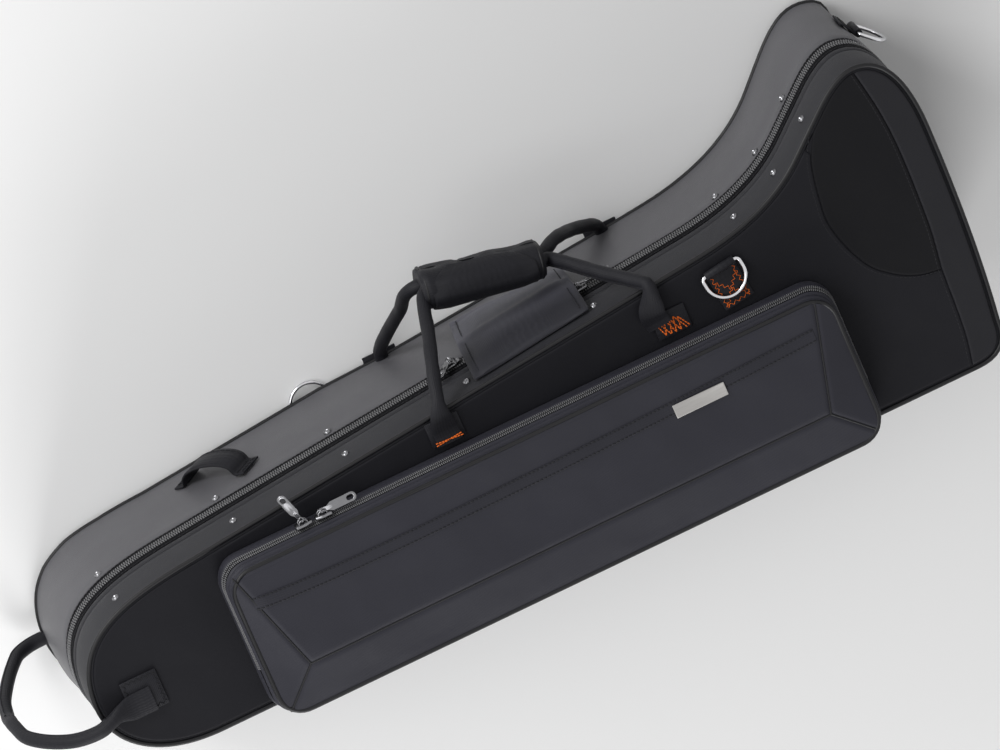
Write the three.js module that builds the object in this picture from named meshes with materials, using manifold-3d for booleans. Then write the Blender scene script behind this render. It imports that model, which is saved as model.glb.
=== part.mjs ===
import * as THREE from "three";
import { mergeVertices } from "three/addons/utils/BufferGeometryUtils.js";
import Module from "manifold-3d";

// A soft-sided trombone case, closed and lying on its back panel. Lengths are millimetres.
// Along runs from the bell end to the tail (+X), rise from the hinge side to the spine that
// carries the handles (-Y), and height from the surface that the case lies on (+Z).

const wasm = await Module();
wasm.setup();

// Body of the case
const pipingDepth = 235;
const lidDepth = 90;
const backCrown = 7;
const wall = 4;
const panelThickness = 7;
const clearance = 0.3;
const loopTolerance = 0.05;
const straightTolerance = 1e-4;
const overrun = 20;
const backHeight = backCrown;
const frontHeight = backCrown + pipingDepth;
const partingHeight = frontHeight - lidDepth;

// Outline seen from the front: the bell end is at 0 along, the hinge side at 0 rise
const caseLength = 930;
const tailFootRun = 100;
const hingeSideTail = caseLength - tailFootRun;
const bellFootRun = 46;
const bellFootRise = 34;
const bellFootInset = 12;
const bellBellyInset = 1;
const bellBellyRise = 120;
const bellCornerRise = 235;
const bellCornerPull = 50;
const bellTopAlong = 45;
const bellTopRise = 318.5;
const bellTopPull = 31;
const rampTopAlong = 87;
const rampTopRise = 297;
const rampTopPull = 17;
const rampFootAlong = 128;
const rampFootRise = 261.5;
const rampFootPull = 44;
const spineAngle = THREE.MathUtils.degToRad(5.55);
const spineTailRun = 130;
const spineTailAlong = caseLength - spineTailRun;
const spineTailRise = 162.6;
const spineBellAlong = 250;
const tailTipRise = 72;
const tailUpperReach = 72;
const tailUpperPull = 68;
const tailLowerPull = 42;
const tailLowerReach = 63;
const curveSteps = 8;

// Piping cord round both faces, and the padded back that stands below it
const pipingHeight = 4;
const pipingProud = 2;
const pipingInset = 5;
const crownInset = 36;
const crownSlope = 6;

// Main zip, and the fabric hinge on the side that it leaves out
const zipHalf = 6.5;
const zipProud = 1.4;
const zipInset = 1.6;
const zipHingeSetback = 16;
const partingGap = 0.2;
const hingeLeafEnd = 64;
const hingeLeafWidth = 27;
const hingeLeafThickness = 2;
const hingeLeafGap = 1.6;

// Rivets on the spine, clenched to a rail behind the wall
const rivetTailRuns = [61, 190, 311];
const rivetBellRuns = [488, 351, 197, 146, 102];
const rivetAlongs = [...rivetTailRuns.map((run) => caseLength - run), ...rivetBellRuns];
const rivetBaseDrop = 24;
const rivetLidLift = 58;
const rivetHeadRadius = 4;
const rivetHeadHeight = 1.4;
const rivetShankRadius = 1.7;
const rivetHoleRadius = 2.2;
const rivetSides = 8;
const railThickness = 1.5;
const railWidth = 12;
const railHingeSetback = 70;

// Foam liners and what they are cut for
const foamInset = 6.4;
const foamSetback = 7;
const foamJoints = { bell: 245, tail: 282 };
const bellRimAlong = 28;
const bellRimRise = 198;
const bellTilt = THREE.MathUtils.degToRad(4.2);
const bellCavityDistances = [0, 10, 25, 50, 100, 200, 350, 535];
const bellCavityRadii = [108.5, 97, 81, 65, 49, 34, 25, 17];
const bellCavitySides = 20;
const neckAlong = 250;
const neckRise = 68;
const neckHalfWidth = 18;
const neckCavityDepth = 42;
const accessoryRun = 275;
const accessoryAlong = caseLength - accessoryRun;
const accessoryInset = 14;
const accessoryFloor = 22;
const mouthpieceAlongs = [395, 452];
const mouthpieceRise = 118;
const mouthpieceRadius = 20;
const mouthpieceDepth = 90;
const mouthpieceSides = 14;
const mouthpieceBlockEdge = 3;
const mouthpieceBlockFloor = 8;
const slideTailRun = 72;
const slideAlong = [45, caseLength - slideTailRun];
const slideRise = [12, 88];
const slideDepth = 45;
const strapWidth = 25;
const strapThickness = 2;
const strapOverhang = 10;
const slideStrapTailRun = 240;
const slideStrapAlongs = [230, caseLength - slideStrapTailRun];
const bellStrapAlong = 490;
const bellStrapRise = [132, 186];

// Carrying handles: a front loop on the lid and a back loop on the base, wrapped in one grip
const handleRadius = 6.5;
const handleSides = 10;
const handleSteps = 44;
const webbingThickness = 2.2;
const webbingWidth = 34;
const gripTailAlong = 488;
const gripTailRise = 275;
const gripBellAlong = 372;
const gripBellRise = 251;
const gripPartingHeight = 147;
const gripPadding = 9;
const gripRadiusSteps = 6;
const gripRunOut = 0.12;
const gripHandleGap = 1;
const frontHandleAlongs = [528, 294];
const backHandleAlongs = [534, 295];
const frontPatchRise = 172;
const frontPatchLength = 25;
const backPatchInset = 20;
const backPatchLength = 26;

// Tail handle: one tube round the tail, in two halves that part with the lid
const tailPatchRun = 46;
const tailPatchAlong = caseLength - tailPatchRun;
const tailPatchRise = 66;
const tailPatchSize = 37;
const tailHandleReach = 72;
const tailHandleRadius = 6.5;

// Rings for a shoulder strap, on webbing tabs
const ringWidth = 40;
const ringDepth = 30;
const ringWireRadius = 2;
const ringSides = 8;
const ringArcSteps = 12;
const tabThickness = 1.8;
const tabWidth = 34;
const tabTunnelWall = 1.9;
const tunnelClearance = 0.35;
const frontRingAlong = 233;
const frontRingRise = 200;
const frontTabLength = 40;
const frontRingAngle = THREE.MathUtils.degToRad(8);
const endRingShare = 0.52;
const endRingTilt = THREE.MathUtils.degToRad(20);
const endRingHeight = 81;
const endTabLength = 18;
const backRingRun = 318;
const backRingAlong = caseLength - backRingRun;
const backRingInset = 19;
const backTabLength = 14;
const backTabThickness = 1;
const backTunnelWall = 0.7;
const backWireRadius = 1.7;
const tunnelSides = 12;

// Webbing loop on the spine of the base
const sideLoopRun = 205;
const sideLoopAlong = caseLength - sideLoopRun;
const sideLoopHeight = 76;
const sideLoopTurn = THREE.MathUtils.degToRad(-46);
const sideLoopLength = 86;
const sideLoopFoot = 12;
const sideLoopRise = 15;
const sideLoopWidth = 30;
const sideLoopSteps = 10;

// Padded flap over the middle of the main zip: a fixed root and a hinged front
const flapBellAlong = 364;
const flapTailAlong = 478;
const flapRootHeight = 66;
const flapFoldHeight = 150;
const flapTipHeight = 224;
const flapBulge = 11;
const flapThickness = 5.5;
const flapFoldGap = 1.2;
const flapSteps = 5;

// Zip sliders and their pulls
const sliderLength = 15;
const sliderWidth = 13;
const sliderNose = 9;
const sliderThickness = 3;
const sliderBridgeLength = 8;
const sliderBridgeWidth = 7.4;
const sliderPostThickness = 1.2;
const sliderBridgeRise = 3.6;
const sliderBarRadius = 0.9;
const sliderBarSides = 8;
const pullLength = 36;
const pullWidth = 10;
const pullEyeWidth = 3.4;
const pullThickness = 1.6;
const pullEyeRadius = 1.5;
const pullEdge = 1.4;
const mainSliderAlongs = { tail: 488, bell: 352 };

// Front pocket on the lid
const pocketTailRun = 151;
const pocketAlong = [149, caseLength - pocketTailRun];
const pocketRise = [-7, 153];
const pocketCorner = 24;
const pocketDepth = 37;
const pocketWall = 3;
const pocketGussetHeight = 20;
const pocketZipHalf = 3;
const pocketZipProud = 1.2;
const pocketZipSetback = 50;
const pocketPanelThickness = 5;
const pocketPipingProud = 1.6;
const pocketPipingHeight = 4;
const pocketHipRise = 9;
const pocketCreaseRise = 36;
const pocketCreaseRun = 196;
const pocketCreaseAlong = [196, caseLength - pocketCreaseRun];
const pocketSeamRise = 143;
const pocketSeamRun = 162;
const pocketSeamAlong = [169, caseLength - pocketSeamRun];
const pocketCornerSteps = 5;
const pocketSliderRuns = { tail: 243, bell: 266 };
const pocketTailPullAngle = THREE.MathUtils.degToRad(70);
const plateAlong = 303;
const plateRise = 105;
const plateLength = 53;
const plateWidth = 13.5;
const plateThickness = 1.2;

const colours = {
  frontFabric: { color: 0x1b1b1f, roughness: 0.9, metalness: 0 },
  spineFabric: { color: 0x3a3a3d, roughness: 0.75, metalness: 0 },
  piping: { color: 0x17171a, roughness: 0.6, metalness: 0 },
  plush: { color: 0x26262a, roughness: 1, metalness: 0 },
  webbing: { color: 0x1f1f22, roughness: 0.85, metalness: 0 },
  coil: { color: 0x4b4b4d, roughness: 0.5, metalness: 0.1 },
  chrome: { color: 0xc9cacc, roughness: 0.18, metalness: 1 },
  plate: { color: 0xa9a6a4, roughness: 0.4, metalness: 0.8 },
};

const trombone_case = new THREE.Group();

function at(along, rise, height) {
  return new THREE.Vector3(along, -rise, height);
}

function toSolid(geometry) {
  const bare = geometry.clone();
  bare.deleteAttribute("normal");
  bare.deleteAttribute("uv");
  const merged = mergeVertices(bare);
  const triangles = Uint32Array.from(merged.index.array);
  const mesh = new wasm.Mesh({
    numProp: 3,
    vertProperties: Float32Array.from(merged.attributes.position.array),
    triVerts: triangles,
  });
  const solid = new wasm.Manifold(mesh);
  if (solid.volume() > 0) return solid;
  const turned = triangles.map((_, i) => triangles[i - (i % 3) + 2 - (i % 3)]);
  return new wasm.Manifold(new wasm.Mesh({ numProp: 3, vertProperties: mesh.vertProperties, triVerts: turned }));
}

function addPiece(name, solid, finish) {
  const { vertProperties, triVerts } = solid.getMesh();
  const geometry = new THREE.BufferGeometry();
  geometry.setAttribute("position", new THREE.BufferAttribute(Float32Array.from(vertProperties), 3));
  geometry.setIndex(new THREE.BufferAttribute(Uint32Array.from(triVerts), 1));
  geometry.computeVertexNormals();
  const mesh = new THREE.Mesh(geometry, new THREE.MeshStandardMaterial(finish));
  mesh.name = name;
  trombone_case.add(mesh);
}

function join(solids) {
  return solids.reduce((whole, solid) => whole.add(solid));
}

// Shapes made from a closed loop of points, counter-clockwise seen from above

// The loop without doubled points, and without points in the middle of a straight run
function tidyLoop(loop) {
  const apart = loop.filter((point, i) => point.distanceTo(loop.at(i - 1)) > loopTolerance);
  return apart.filter((point, i) => {
    const before = point.clone().sub(apart.at(i - 1)).normalize();
    const after = apart[(i + 1) % apart.length].clone().sub(point).normalize();
    return Math.abs(before.cross(after)) > straightTolerance || before.dot(after) < 0;
  });
}

function slab(loop, low, high) {
  const shape = new THREE.Shape(tidyLoop(loop));
  const geometry = new THREE.ExtrudeGeometry(shape, { depth: high - low, bevelEnabled: false });
  return toSolid(geometry.translate(0, 0, low));
}

// A slab whose face at one height is drawn in about a pivot
function tapered(loop, low, high, drawnHeight, pivot, share) {
  const shape = new THREE.Shape(tidyLoop(loop));
  const geometry = new THREE.ExtrudeGeometry(shape, { depth: high - low, bevelEnabled: false });
  geometry.translate(0, 0, low);
  const { position } = geometry.attributes;
  for (let i = 0; i < position.count; i += 1) {
    if (Math.abs(position.getZ(i) - drawnHeight) > clearance) continue;
    position.setX(i, pivot.x + (position.getX(i) - pivot.x) * share.x);
    position.setY(i, pivot.y + (position.getY(i) - pivot.y) * share.y);
  }
  return toSolid(geometry);
}

function band(outer, inner, low, high) {
  return slab(outer, low, high).subtract(slab(inner, low - overrun, high + overrun));
}

function box(low, high) {
  const size = new THREE.Vector3().subVectors(high, low);
  const sides = [Math.abs(size.x), Math.abs(size.y), Math.abs(size.z)];
  const middle = new THREE.Vector3().addVectors(low, high).multiplyScalar(1 / 2);
  return toSolid(new THREE.BoxGeometry(...sides).translate(middle.x, middle.y, middle.z));
}

function roundLoop(radius, sides) {
  return Array.from({ length: sides }, (_, i) => {
    const turn = ((i + 1 / 2) / sides) * 2 * Math.PI;
    return new THREE.Vector2(radius * Math.cos(turn), radius * Math.sin(turn));
  });
}

function rod(radius, sides, from, to) {
  const geometry = new THREE.CylinderGeometry(radius, radius, from.distanceTo(to), sides);
  const direction = new THREE.Vector3().subVectors(to, from).normalize();
  const middle = new THREE.Vector3().addVectors(from, to).multiplyScalar(1 / 2);
  geometry.applyQuaternion(new THREE.Quaternion().setFromUnitVectors(new THREE.Vector3(0, 1, 0), direction));
  return toSolid(geometry.translate(middle.x, middle.y, middle.z));
}

function tube(points, radius, steps) {
  const path = new THREE.CatmullRomCurve3(points, false, "centripetal");
  const section = new THREE.Shape(roundLoop(radius, handleSides));
  return toSolid(new THREE.ExtrudeGeometry(section, { steps, extrudePath: path, bevelEnabled: false }));
}

// A frame on a face of the case: its X runs along the face, its Y across it and its Z out of it
function faceFrame(origin, alongDirection, outDirection) {
  const across = new THREE.Vector3().crossVectors(outDirection, alongDirection);
  return new THREE.Matrix4().makeBasis(alongDirection, across, outDirection).setPosition(origin);
}

function placeSolid(solid, frame) {
  return solid.transform(frame.toArray());
}

// Outline of the case

const bellCorner = new THREE.CubicBezierCurve(
  new THREE.Vector2(bellBellyInset, -bellCornerRise),
  new THREE.Vector2(bellBellyInset, -bellCornerRise - bellCornerPull),
  new THREE.Vector2(bellTopAlong - bellTopPull, -bellTopRise),
  new THREE.Vector2(bellTopAlong, -bellTopRise),
);

function caseOutline() {
  const shape = new THREE.Shape();
  const tailUpperDrop = tailUpperReach * Math.tan(spineAngle);
  const rampSlope = (rampTopRise - rampFootRise) / (rampFootAlong - rampTopAlong);
  shape.moveTo(hingeSideTail, 0);
  shape.lineTo(bellFootRun, 0);
  shape.quadraticCurveTo(bellFootInset, 0, bellFootInset, -bellFootRise);
  shape.quadraticCurveTo(bellBellyInset, -bellBellyRise, bellBellyInset, -bellCornerRise);
  shape.bezierCurveTo(bellCorner.v1.x, bellCorner.v1.y, bellCorner.v2.x, bellCorner.v2.y, bellTopAlong, -bellTopRise);
  shape.quadraticCurveTo(bellTopAlong + rampTopPull, -bellTopRise, rampTopAlong, -rampTopRise);
  shape.lineTo(rampFootAlong, -rampFootRise);
  shape.quadraticCurveTo(
    rampFootAlong + rampFootPull, -rampFootRise + rampFootPull * rampSlope,
    spineBellAlong, -spineRise(spineBellAlong),
  );
  shape.lineTo(spineTailAlong, -spineTailRise);
  shape.bezierCurveTo(
    spineTailAlong + tailUpperReach, -spineTailRise + tailUpperDrop,
    caseLength, -tailTipRise - tailUpperPull,
    caseLength, -tailTipRise,
  );
  shape.bezierCurveTo(
    caseLength, -tailTipRise + tailLowerPull,
    hingeSideTail + tailLowerReach, 0,
    hingeSideTail, 0,
  );
  const points = shape.getPoints(curveSteps);
  return points.filter((point, i) => point.distanceTo(points.at(i - 1)) > clearance);
}

function spineRise(along) {
  return spineTailRise + (spineTailAlong - along) * Math.tan(spineAngle);
}

const outline = caseOutline();

function loopAt(offset) {
  const flat = new wasm.CrossSection([outline.map((point) => point.toArray())], "Positive");
  const [loop] = flat.offset(offset, "Miter").toPolygons();
  return loop.map(([x, y]) => new THREE.Vector2(x, y));
}

// Where the outline's spine side crosses a place along the case, and its outward direction there
function spineAt(along) {
  for (let i = 0; i < outline.length; i += 1) {
    const from = outline[i];
    const to = outline[(i + 1) % outline.length];
    if (from.x <= along && along < to.x) {
      const share = (along - from.x) / (to.x - from.x);
      const point = from.clone().lerp(to, share);
      const direction = to.clone().sub(from).normalize();
      return { rise: -point.y, direction: new THREE.Vector3(direction.x, direction.y, 0),
        out: new THREE.Vector3(direction.y, -direction.x, 0) };
    }
  }
  throw new Error(`no spine at ${along}`);
}

function spineFrame(along, height) {
  const { rise, direction, out } = spineAt(along);
  return faceFrame(at(along, rise, height), direction, out);
}

const straight = spineAt((spineTailAlong + spineBellAlong) / 2);

// Shells, piping, zip and hinge

function notHingeSide(setback) {
  return box(at(-overrun, setback, -overrun), at(caseLength + overrun, caseLength, frontHeight + overrun));
}

function makeShells() {
  const rebate = pipingHeight + clearance;
  const rim = loopAt(-pipingInset - clearance);
  const middle = new THREE.Vector2(caseLength / 2, -bellTopRise / 2);
  const drawn = new THREE.Vector2(1 - crownSlope / middle.x, 1 + crownSlope / middle.y);
  const crown = tapered(loopAt(-crownInset), 0, backHeight + panelThickness / 2, 0, middle, drawn);
  const backPanel = slab(rim, backHeight, backHeight + panelThickness);
  const baseBody = slab(outline, backHeight + rebate, partingHeight - zipHalf);
  const baseHollow = slab(loopAt(-wall), backHeight + panelThickness, partingHeight);
  const lidPanel = slab(rim, frontHeight - panelThickness, frontHeight);
  const lidBody = slab(outline, partingHeight + zipHalf, frontHeight - rebate);
  const lidHollow = slab(loopAt(-wall), partingHeight, frontHeight - panelThickness);
  const baseHoles = join(rivetAlongs.map((along) => rivetShank(along, rivetBaseHeight, rivetHoleRadius)));
  const lidHoles = join(rivetAlongs.map((along) => rivetShank(along, rivetLidHeight, rivetHoleRadius)));
  addPiece("base_shell", join([crown, backPanel, baseBody]).subtract(baseHollow).subtract(baseHoles), colours.spineFabric);
  addPiece("lid_shell", join([lidPanel, lidBody]).subtract(lidHollow).subtract(lidHoles), colours.frontFabric);
  const pipingOuter = loopAt(pipingProud);
  const pipingInner = loopAt(-pipingInset);
  const basePiping = band(pipingOuter, pipingInner, backHeight, backHeight + pipingHeight);
  const lidPiping = band(pipingOuter, pipingInner, frontHeight - pipingHeight, frontHeight);
  addPiece("base_piping", basePiping, colours.piping);
  addPiece("lid_piping", lidPiping, colours.piping);
}

function makeMainZip() {
  const outer = loopAt(zipProud);
  const inner = loopAt(-zipInset);
  const kept = notHingeSide(zipHingeSetback);
  const base = band(outer, inner, partingHeight - zipHalf + clearance, partingHeight - partingGap);
  const lid = band(outer, inner, partingHeight + partingGap, partingHeight + zipHalf - clearance);
  addPiece("zip_base_chain", base.intersect(kept), colours.coil);
  addPiece("zip_lid_chain", lid.intersect(kept), colours.coil);
}

function makeHinge() {
  const inner = -clearance;
  const outer = -clearance - hingeLeafThickness;
  const near = hingeLeafEnd;
  const far = hingeSideTail - hingeLeafEnd / 2;
  const low = partingHeight - hingeLeafGap;
  const high = partingHeight + hingeLeafGap;
  addPiece("hinge_base_leaf", box(at(near, inner, low - hingeLeafWidth), at(far, outer, low)), colours.webbing);
  addPiece("hinge_lid_leaf", box(at(near, inner, high), at(far, outer, high + hingeLeafWidth)), colours.webbing);
}

// Rivets

const rivetBaseHeight = partingHeight - rivetBaseDrop;
const rivetLidHeight = partingHeight + rivetLidLift;

function rivetShank(along, height, radius) {
  const { rise, out } = spineAt(along);
  const face = at(along, rise, height);
  const inner = face.clone().addScaledVector(out, -wall - railThickness);
  const outer = face.clone().addScaledVector(out, clearance + rivetHeadHeight / 2);
  return rod(radius, rivetSides, inner, outer);
}

function rivetHead(along, height) {
  const { rise, out } = spineAt(along);
  const seat = at(along, rise, height).addScaledVector(out, clearance);
  return rod(rivetHeadRadius, rivetSides, seat, seat.clone().addScaledVector(out, rivetHeadHeight));
}

function makeRivets(name, height) {
  const inner = loopAt(-wall - clearance - railThickness);
  const rail = band(loopAt(-wall - clearance), inner, height - railWidth / 2, height + railWidth / 2);
  const first = Math.min(...rivetAlongs) - railWidth;
  const last = Math.max(...rivetAlongs) + railWidth;
  const spineSide = box(at(first, railHingeSetback, -overrun), at(last, caseLength, frontHeight + overrun));
  const shanks = rivetAlongs.map((along) => rivetShank(along, height, rivetShankRadius));
  const heads = rivetAlongs.map((along) => rivetHead(along, height));
  addPiece(name, join([rail.intersect(spineSide), ...shanks, ...heads]), colours.chrome);
}

// Foam liners

const bellAxisHeight = backHeight + pipingDepth / 2;
const baseFoamTop = partingHeight - foamSetback;
const lidFoamBottom = partingHeight + foamSetback;

function bellFrame() {
  const direction = new THREE.Vector3(Math.cos(bellTilt), Math.sin(bellTilt), 0);
  const across = new THREE.Vector3(-Math.sin(bellTilt), Math.cos(bellTilt), 0);
  const up = new THREE.Vector3(0, 0, 1);
  return new THREE.Matrix4().makeBasis(direction, across, up).setPosition(at(bellRimAlong, bellRimRise, bellAxisHeight));
}

function bellCavity() {
  const profile = bellCavityDistances.map((distance, i) => new THREE.Vector2(bellCavityRadii[i], distance));
  const closed = [new THREE.Vector2(0, 0), ...profile, new THREE.Vector2(0, bellCavityDistances.at(-1))];
  const lathe = new THREE.LatheGeometry(closed, bellCavitySides).rotateZ(-Math.PI / 2);
  return placeSolid(toSolid(lathe), bellFrame());
}

function bellWayIn() {
  const side = bellCavityDistances.map((distance, i) => new THREE.Vector2(distance, -bellCavityRadii[i]));
  const other = side.map((point) => new THREE.Vector2(point.x, -point.y)).reverse();
  return placeSolid(slab([...side, ...other], 0, partingHeight - bellAxisHeight), bellFrame());
}

function neckCavity() {
  const bellEnd = new THREE.Vector3(bellCavityDistances.at(-1), 0, 0).applyMatrix4(bellFrame());
  const centreRise = (neckRise - bellEnd.y) / 2;
  const bowRadius = centreRise - neckRise;
  const shape = new THREE.Shape();
  shape.moveTo(neckAlong, -neckRise - neckHalfWidth);
  shape.lineTo(bellEnd.x, -neckRise - neckHalfWidth);
  shape.absarc(bellEnd.x, -centreRise, bowRadius - neckHalfWidth, Math.PI / 2, -Math.PI / 2, true);
  shape.lineTo(bellEnd.x, -centreRise - bowRadius - neckHalfWidth);
  shape.absarc(bellEnd.x, -centreRise, bowRadius + neckHalfWidth, -Math.PI / 2, Math.PI / 2, false);
  shape.lineTo(neckAlong, -neckRise + neckHalfWidth);
  return slab(shape.getPoints(curveSteps), baseFoamTop - neckCavityDepth, partingHeight);
}

function makeFoam() {
  const block = loopAt(-foamInset);
  const accessory = slab(loopAt(-accessoryInset), accessoryFloor, partingHeight).intersect(
    box(at(accessoryAlong, -overrun, 0), at(caseLength, caseLength, frontHeight)));
  const baseCuts = join([bellCavity(), bellWayIn(), neckCavity(), accessory, mouthpieceBox(clearance)]);
  const base = slab(block, backHeight + panelThickness + clearance, baseFoamTop).subtract(baseCuts);
  const ends = [-overrun, foamJoints.bell, caseLength - foamJoints.tail, caseLength + overrun];
  const slideCut = box(at(slideAlong[0], slideRise[0], partingHeight),
    at(slideAlong[1], slideRise[1], lidFoamBottom + slideDepth));
  const lid = slab(block, lidFoamBottom, frontHeight - panelThickness - clearance);
  ["bell", "middle", "tail"].forEach((part, i) => {
    const low = at(ends[i] + clearance / 2, -overrun, 0);
    const high = at(ends[i + 1] - clearance / 2, caseLength, frontHeight);
    addPiece(`base_foam_${part}`, base.intersect(box(low, high)), colours.plush);
  });
  addPiece("lid_foam", lid.subtract(join([bellCavity(), slideCut])), colours.plush);
}

// The block that holds the mouthpieces, set in the base foam with this much to spare
function mouthpieceBox(spare) {
  const reach = mouthpieceRadius + mouthpieceBlockEdge + spare;
  const floor = baseFoamTop - mouthpieceDepth - mouthpieceBlockFloor - spare;
  return box(at(mouthpieceAlongs[0] - reach, mouthpieceRise - reach, floor),
    at(mouthpieceAlongs[1] + reach, mouthpieceRise + reach, spare > 0 ? partingHeight : baseFoamTop));
}

function makeMouthpieceBlock() {
  const holes = mouthpieceAlongs.map((along) => rod(mouthpieceRadius, mouthpieceSides,
    at(along, mouthpieceRise, baseFoamTop - mouthpieceDepth), at(along, mouthpieceRise, partingHeight)));
  addPiece("mouthpiece_block", mouthpieceBox(0).subtract(join(holes)), colours.plush);
}

function makeStraps() {
  slideStrapAlongs.forEach((along, i) => {
    const high = lidFoamBottom - clearance;
    const low = high - strapThickness;
    const near = at(along - strapWidth / 2, slideRise[0] - clearance, low);
    const far = at(along + strapWidth / 2, slideRise[1] + strapOverhang, high);
    addPiece(`slide_strap_${i + 1}`, box(near, far), colours.webbing);
  });
  const low = baseFoamTop + clearance;
  const near = at(bellStrapAlong - strapWidth / 2, bellStrapRise[0], low);
  const far = at(bellStrapAlong + strapWidth / 2, bellStrapRise[1], low + strapThickness);
  addPiece("bell_strap", box(near, far), colours.webbing);
}

// Handles

function handleTube(name, heightAtGrip, endPoints) {
  const [tailEnd, bellEnd] = endPoints;
  const gripTail = at(gripTailAlong, gripTailRise, heightAtGrip);
  const gripBell = at(gripBellAlong, gripBellRise, heightAtGrip);
  const straightRun = [-gripRunOut, 0, 1, 1 + gripRunOut].map((share) => gripTail.clone().lerp(gripBell, share));
  const path = [...tailEnd, ...straightRun, ...bellEnd.reverse()];
  addPiece(name, tube(path, handleRadius, handleSteps), colours.webbing);
}

function makeHandles() {
  const stack = handleRadius + gripHandleGap;
  const faceRun = frontHeight + webbingThickness + 2 * clearance + handleRadius;
  const edgeRise = (along) => spineAt(along).rise;
  const gripRises = [gripTailRise, gripBellRise];
  const frontEnds = frontHandleAlongs.map((along, i) => {
    const inward = Math.sign(gripBellAlong - gripTailAlong) * (i === 0 ? 1 : -1) * handleRadius;
    const edge = edgeRise(along);
    return [
      at(along, frontPatchRise, faceRun),
      at(along, edge + handleRadius, faceRun),
      at(along + inward, edge + 4 * handleRadius, faceRun - 2 * handleRadius),
      at(along + 3 * inward, (edge + gripRises[i]) / 2 + handleRadius, (faceRun + gripPartingHeight) / 2),
    ];
  });
  const backEnds = backHandleAlongs.map((along, i) => {
    const inward = Math.sign(gripBellAlong - gripTailAlong) * (i === 0 ? 1 : -1) * handleRadius;
    const edge = edgeRise(along) + pipingProud + clearance;
    const low = backHeight + handleRadius;
    return [
      at(along, edge, low),
      at(along, edge + 2 * handleRadius, low + handleRadius / 2),
      at(along + inward, edge + 4 * handleRadius, low + 5 * handleRadius),
      at(along + 4 * inward, (edge + gripRises[i]) / 2 + handleRadius, (low + gripPartingHeight) / 2 + handleRadius),
    ];
  });
  handleTube("front_handle", gripPartingHeight + stack, frontEnds);
  handleTube("back_handle", gripPartingHeight - stack, backEnds);
  frontHandleAlongs.forEach((along, i) => {
    const low = frontHeight + clearance;
    const near = at(along - webbingWidth / 2, frontPatchRise - frontPatchLength / 2, low);
    const far = at(along + webbingWidth / 2, frontPatchRise + frontPatchLength / 2, low + webbingThickness);
    addPiece(`front_handle_patch_${i + 1}`, box(near, far), colours.webbing);
  });
  backHandleAlongs.forEach((along, i) => {
    const high = backHeight - clearance;
    const near = at(along - webbingWidth / 2, edgeRise(along) - backPatchInset, high - webbingThickness);
    const far = at(along + webbingWidth / 2, edgeRise(along) - backPatchInset + backPatchLength, high);
    addPiece(`back_handle_patch_${i + 1}`, box(near, far), colours.webbing);
  });
}

function gripSection(radius) {
  const stack = handleRadius + gripHandleGap;
  const shape = new THREE.Shape();
  shape.absarc(0, stack, radius, 0, Math.PI, false);
  shape.absarc(0, -stack, radius, Math.PI, 2 * Math.PI, false);
  return shape.getPoints(gripRadiusSteps).slice(0, -1);
}

function makeGrip() {
  const from = at(gripBellAlong, gripBellRise, gripPartingHeight);
  const to = at(gripTailAlong, gripTailRise, gripPartingHeight);
  const direction = new THREE.Vector3().subVectors(to, from).normalize();
  const up = new THREE.Vector3(0, 0, 1);
  const side = new THREE.Vector3().crossVectors(up, direction);
  const frame = new THREE.Matrix4().makeBasis(side, up, direction).setPosition(from);
  const length = from.distanceTo(to);
  const outer = slab(gripSection(handleRadius + clearance + gripPadding), 0, length);
  const sleeve = outer.subtract(slab(gripSection(handleRadius + clearance), -overrun, length + overrun));
  const reach = 2 * (handleRadius + gripPadding) + overrun;
  const upper = box(new THREE.Vector3(-reach, partingGap, -overrun), new THREE.Vector3(reach, reach, length + overrun));
  const lower = box(new THREE.Vector3(-reach, -reach, -overrun), new THREE.Vector3(reach, -partingGap, length + overrun));
  addPiece("grip_front_half", placeSolid(sleeve.intersect(upper), frame), colours.webbing);
  addPiece("grip_back_half", placeSolid(sleeve.intersect(lower), frame), colours.webbing);
}

function makeTailHandle() {
  const frontRun = frontHeight + webbingThickness + 2 * clearance + tailHandleRadius;
  const backRun = backHeight + tailHandleRadius;
  const tip = caseLength + tailHandleReach;
  const rise = tailPatchRise;
  const lift = tailHandleRadius;
  const middle = (frontHeight + backHeight) / 2;
  const frontHalf = [
    at(tailPatchAlong + tailPatchSize / 2, rise - lift, frontRun),
    at(caseLength + lift, rise - 2 * lift, frontRun),
    at(caseLength + tailHandleReach / 2, rise - 2 * lift, frontRun - 2 * lift),
    at(tip - lift, rise - lift, (frontRun + partingHeight) / 2),
    at(tip, rise, partingHeight + 2 * lift),
    at(tip, rise, partingHeight + clearance),
  ];
  const backHalf = [
    at(tip, rise, partingHeight - clearance),
    at(tip, rise, partingHeight - 2 * lift),
    at(tip - lift, rise + lift, middle - 3 * lift),
    at(caseLength + tailHandleReach / 2, rise + 2 * lift, backRun + 3 * lift),
    at(caseLength + 3 * lift, rise + 2 * lift, backRun + lift / 2),
    at(caseLength + pipingProud, rise + 2 * lift, backRun),
  ];
  addPiece("tail_handle_front_half", tube(frontHalf, tailHandleRadius, handleSteps / 2), colours.webbing);
  addPiece("tail_handle_back_half", tube(backHalf, tailHandleRadius, handleSteps / 2), colours.webbing);
  const half = tailPatchSize / 2;
  const low = frontHeight + clearance;
  const near = at(tailPatchAlong - half, tailPatchRise - half, low);
  const far = at(tailPatchAlong + half, tailPatchRise + half, low + webbingThickness);
  addPiece("tail_handle_patch", box(near, far), colours.webbing);
}

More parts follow.
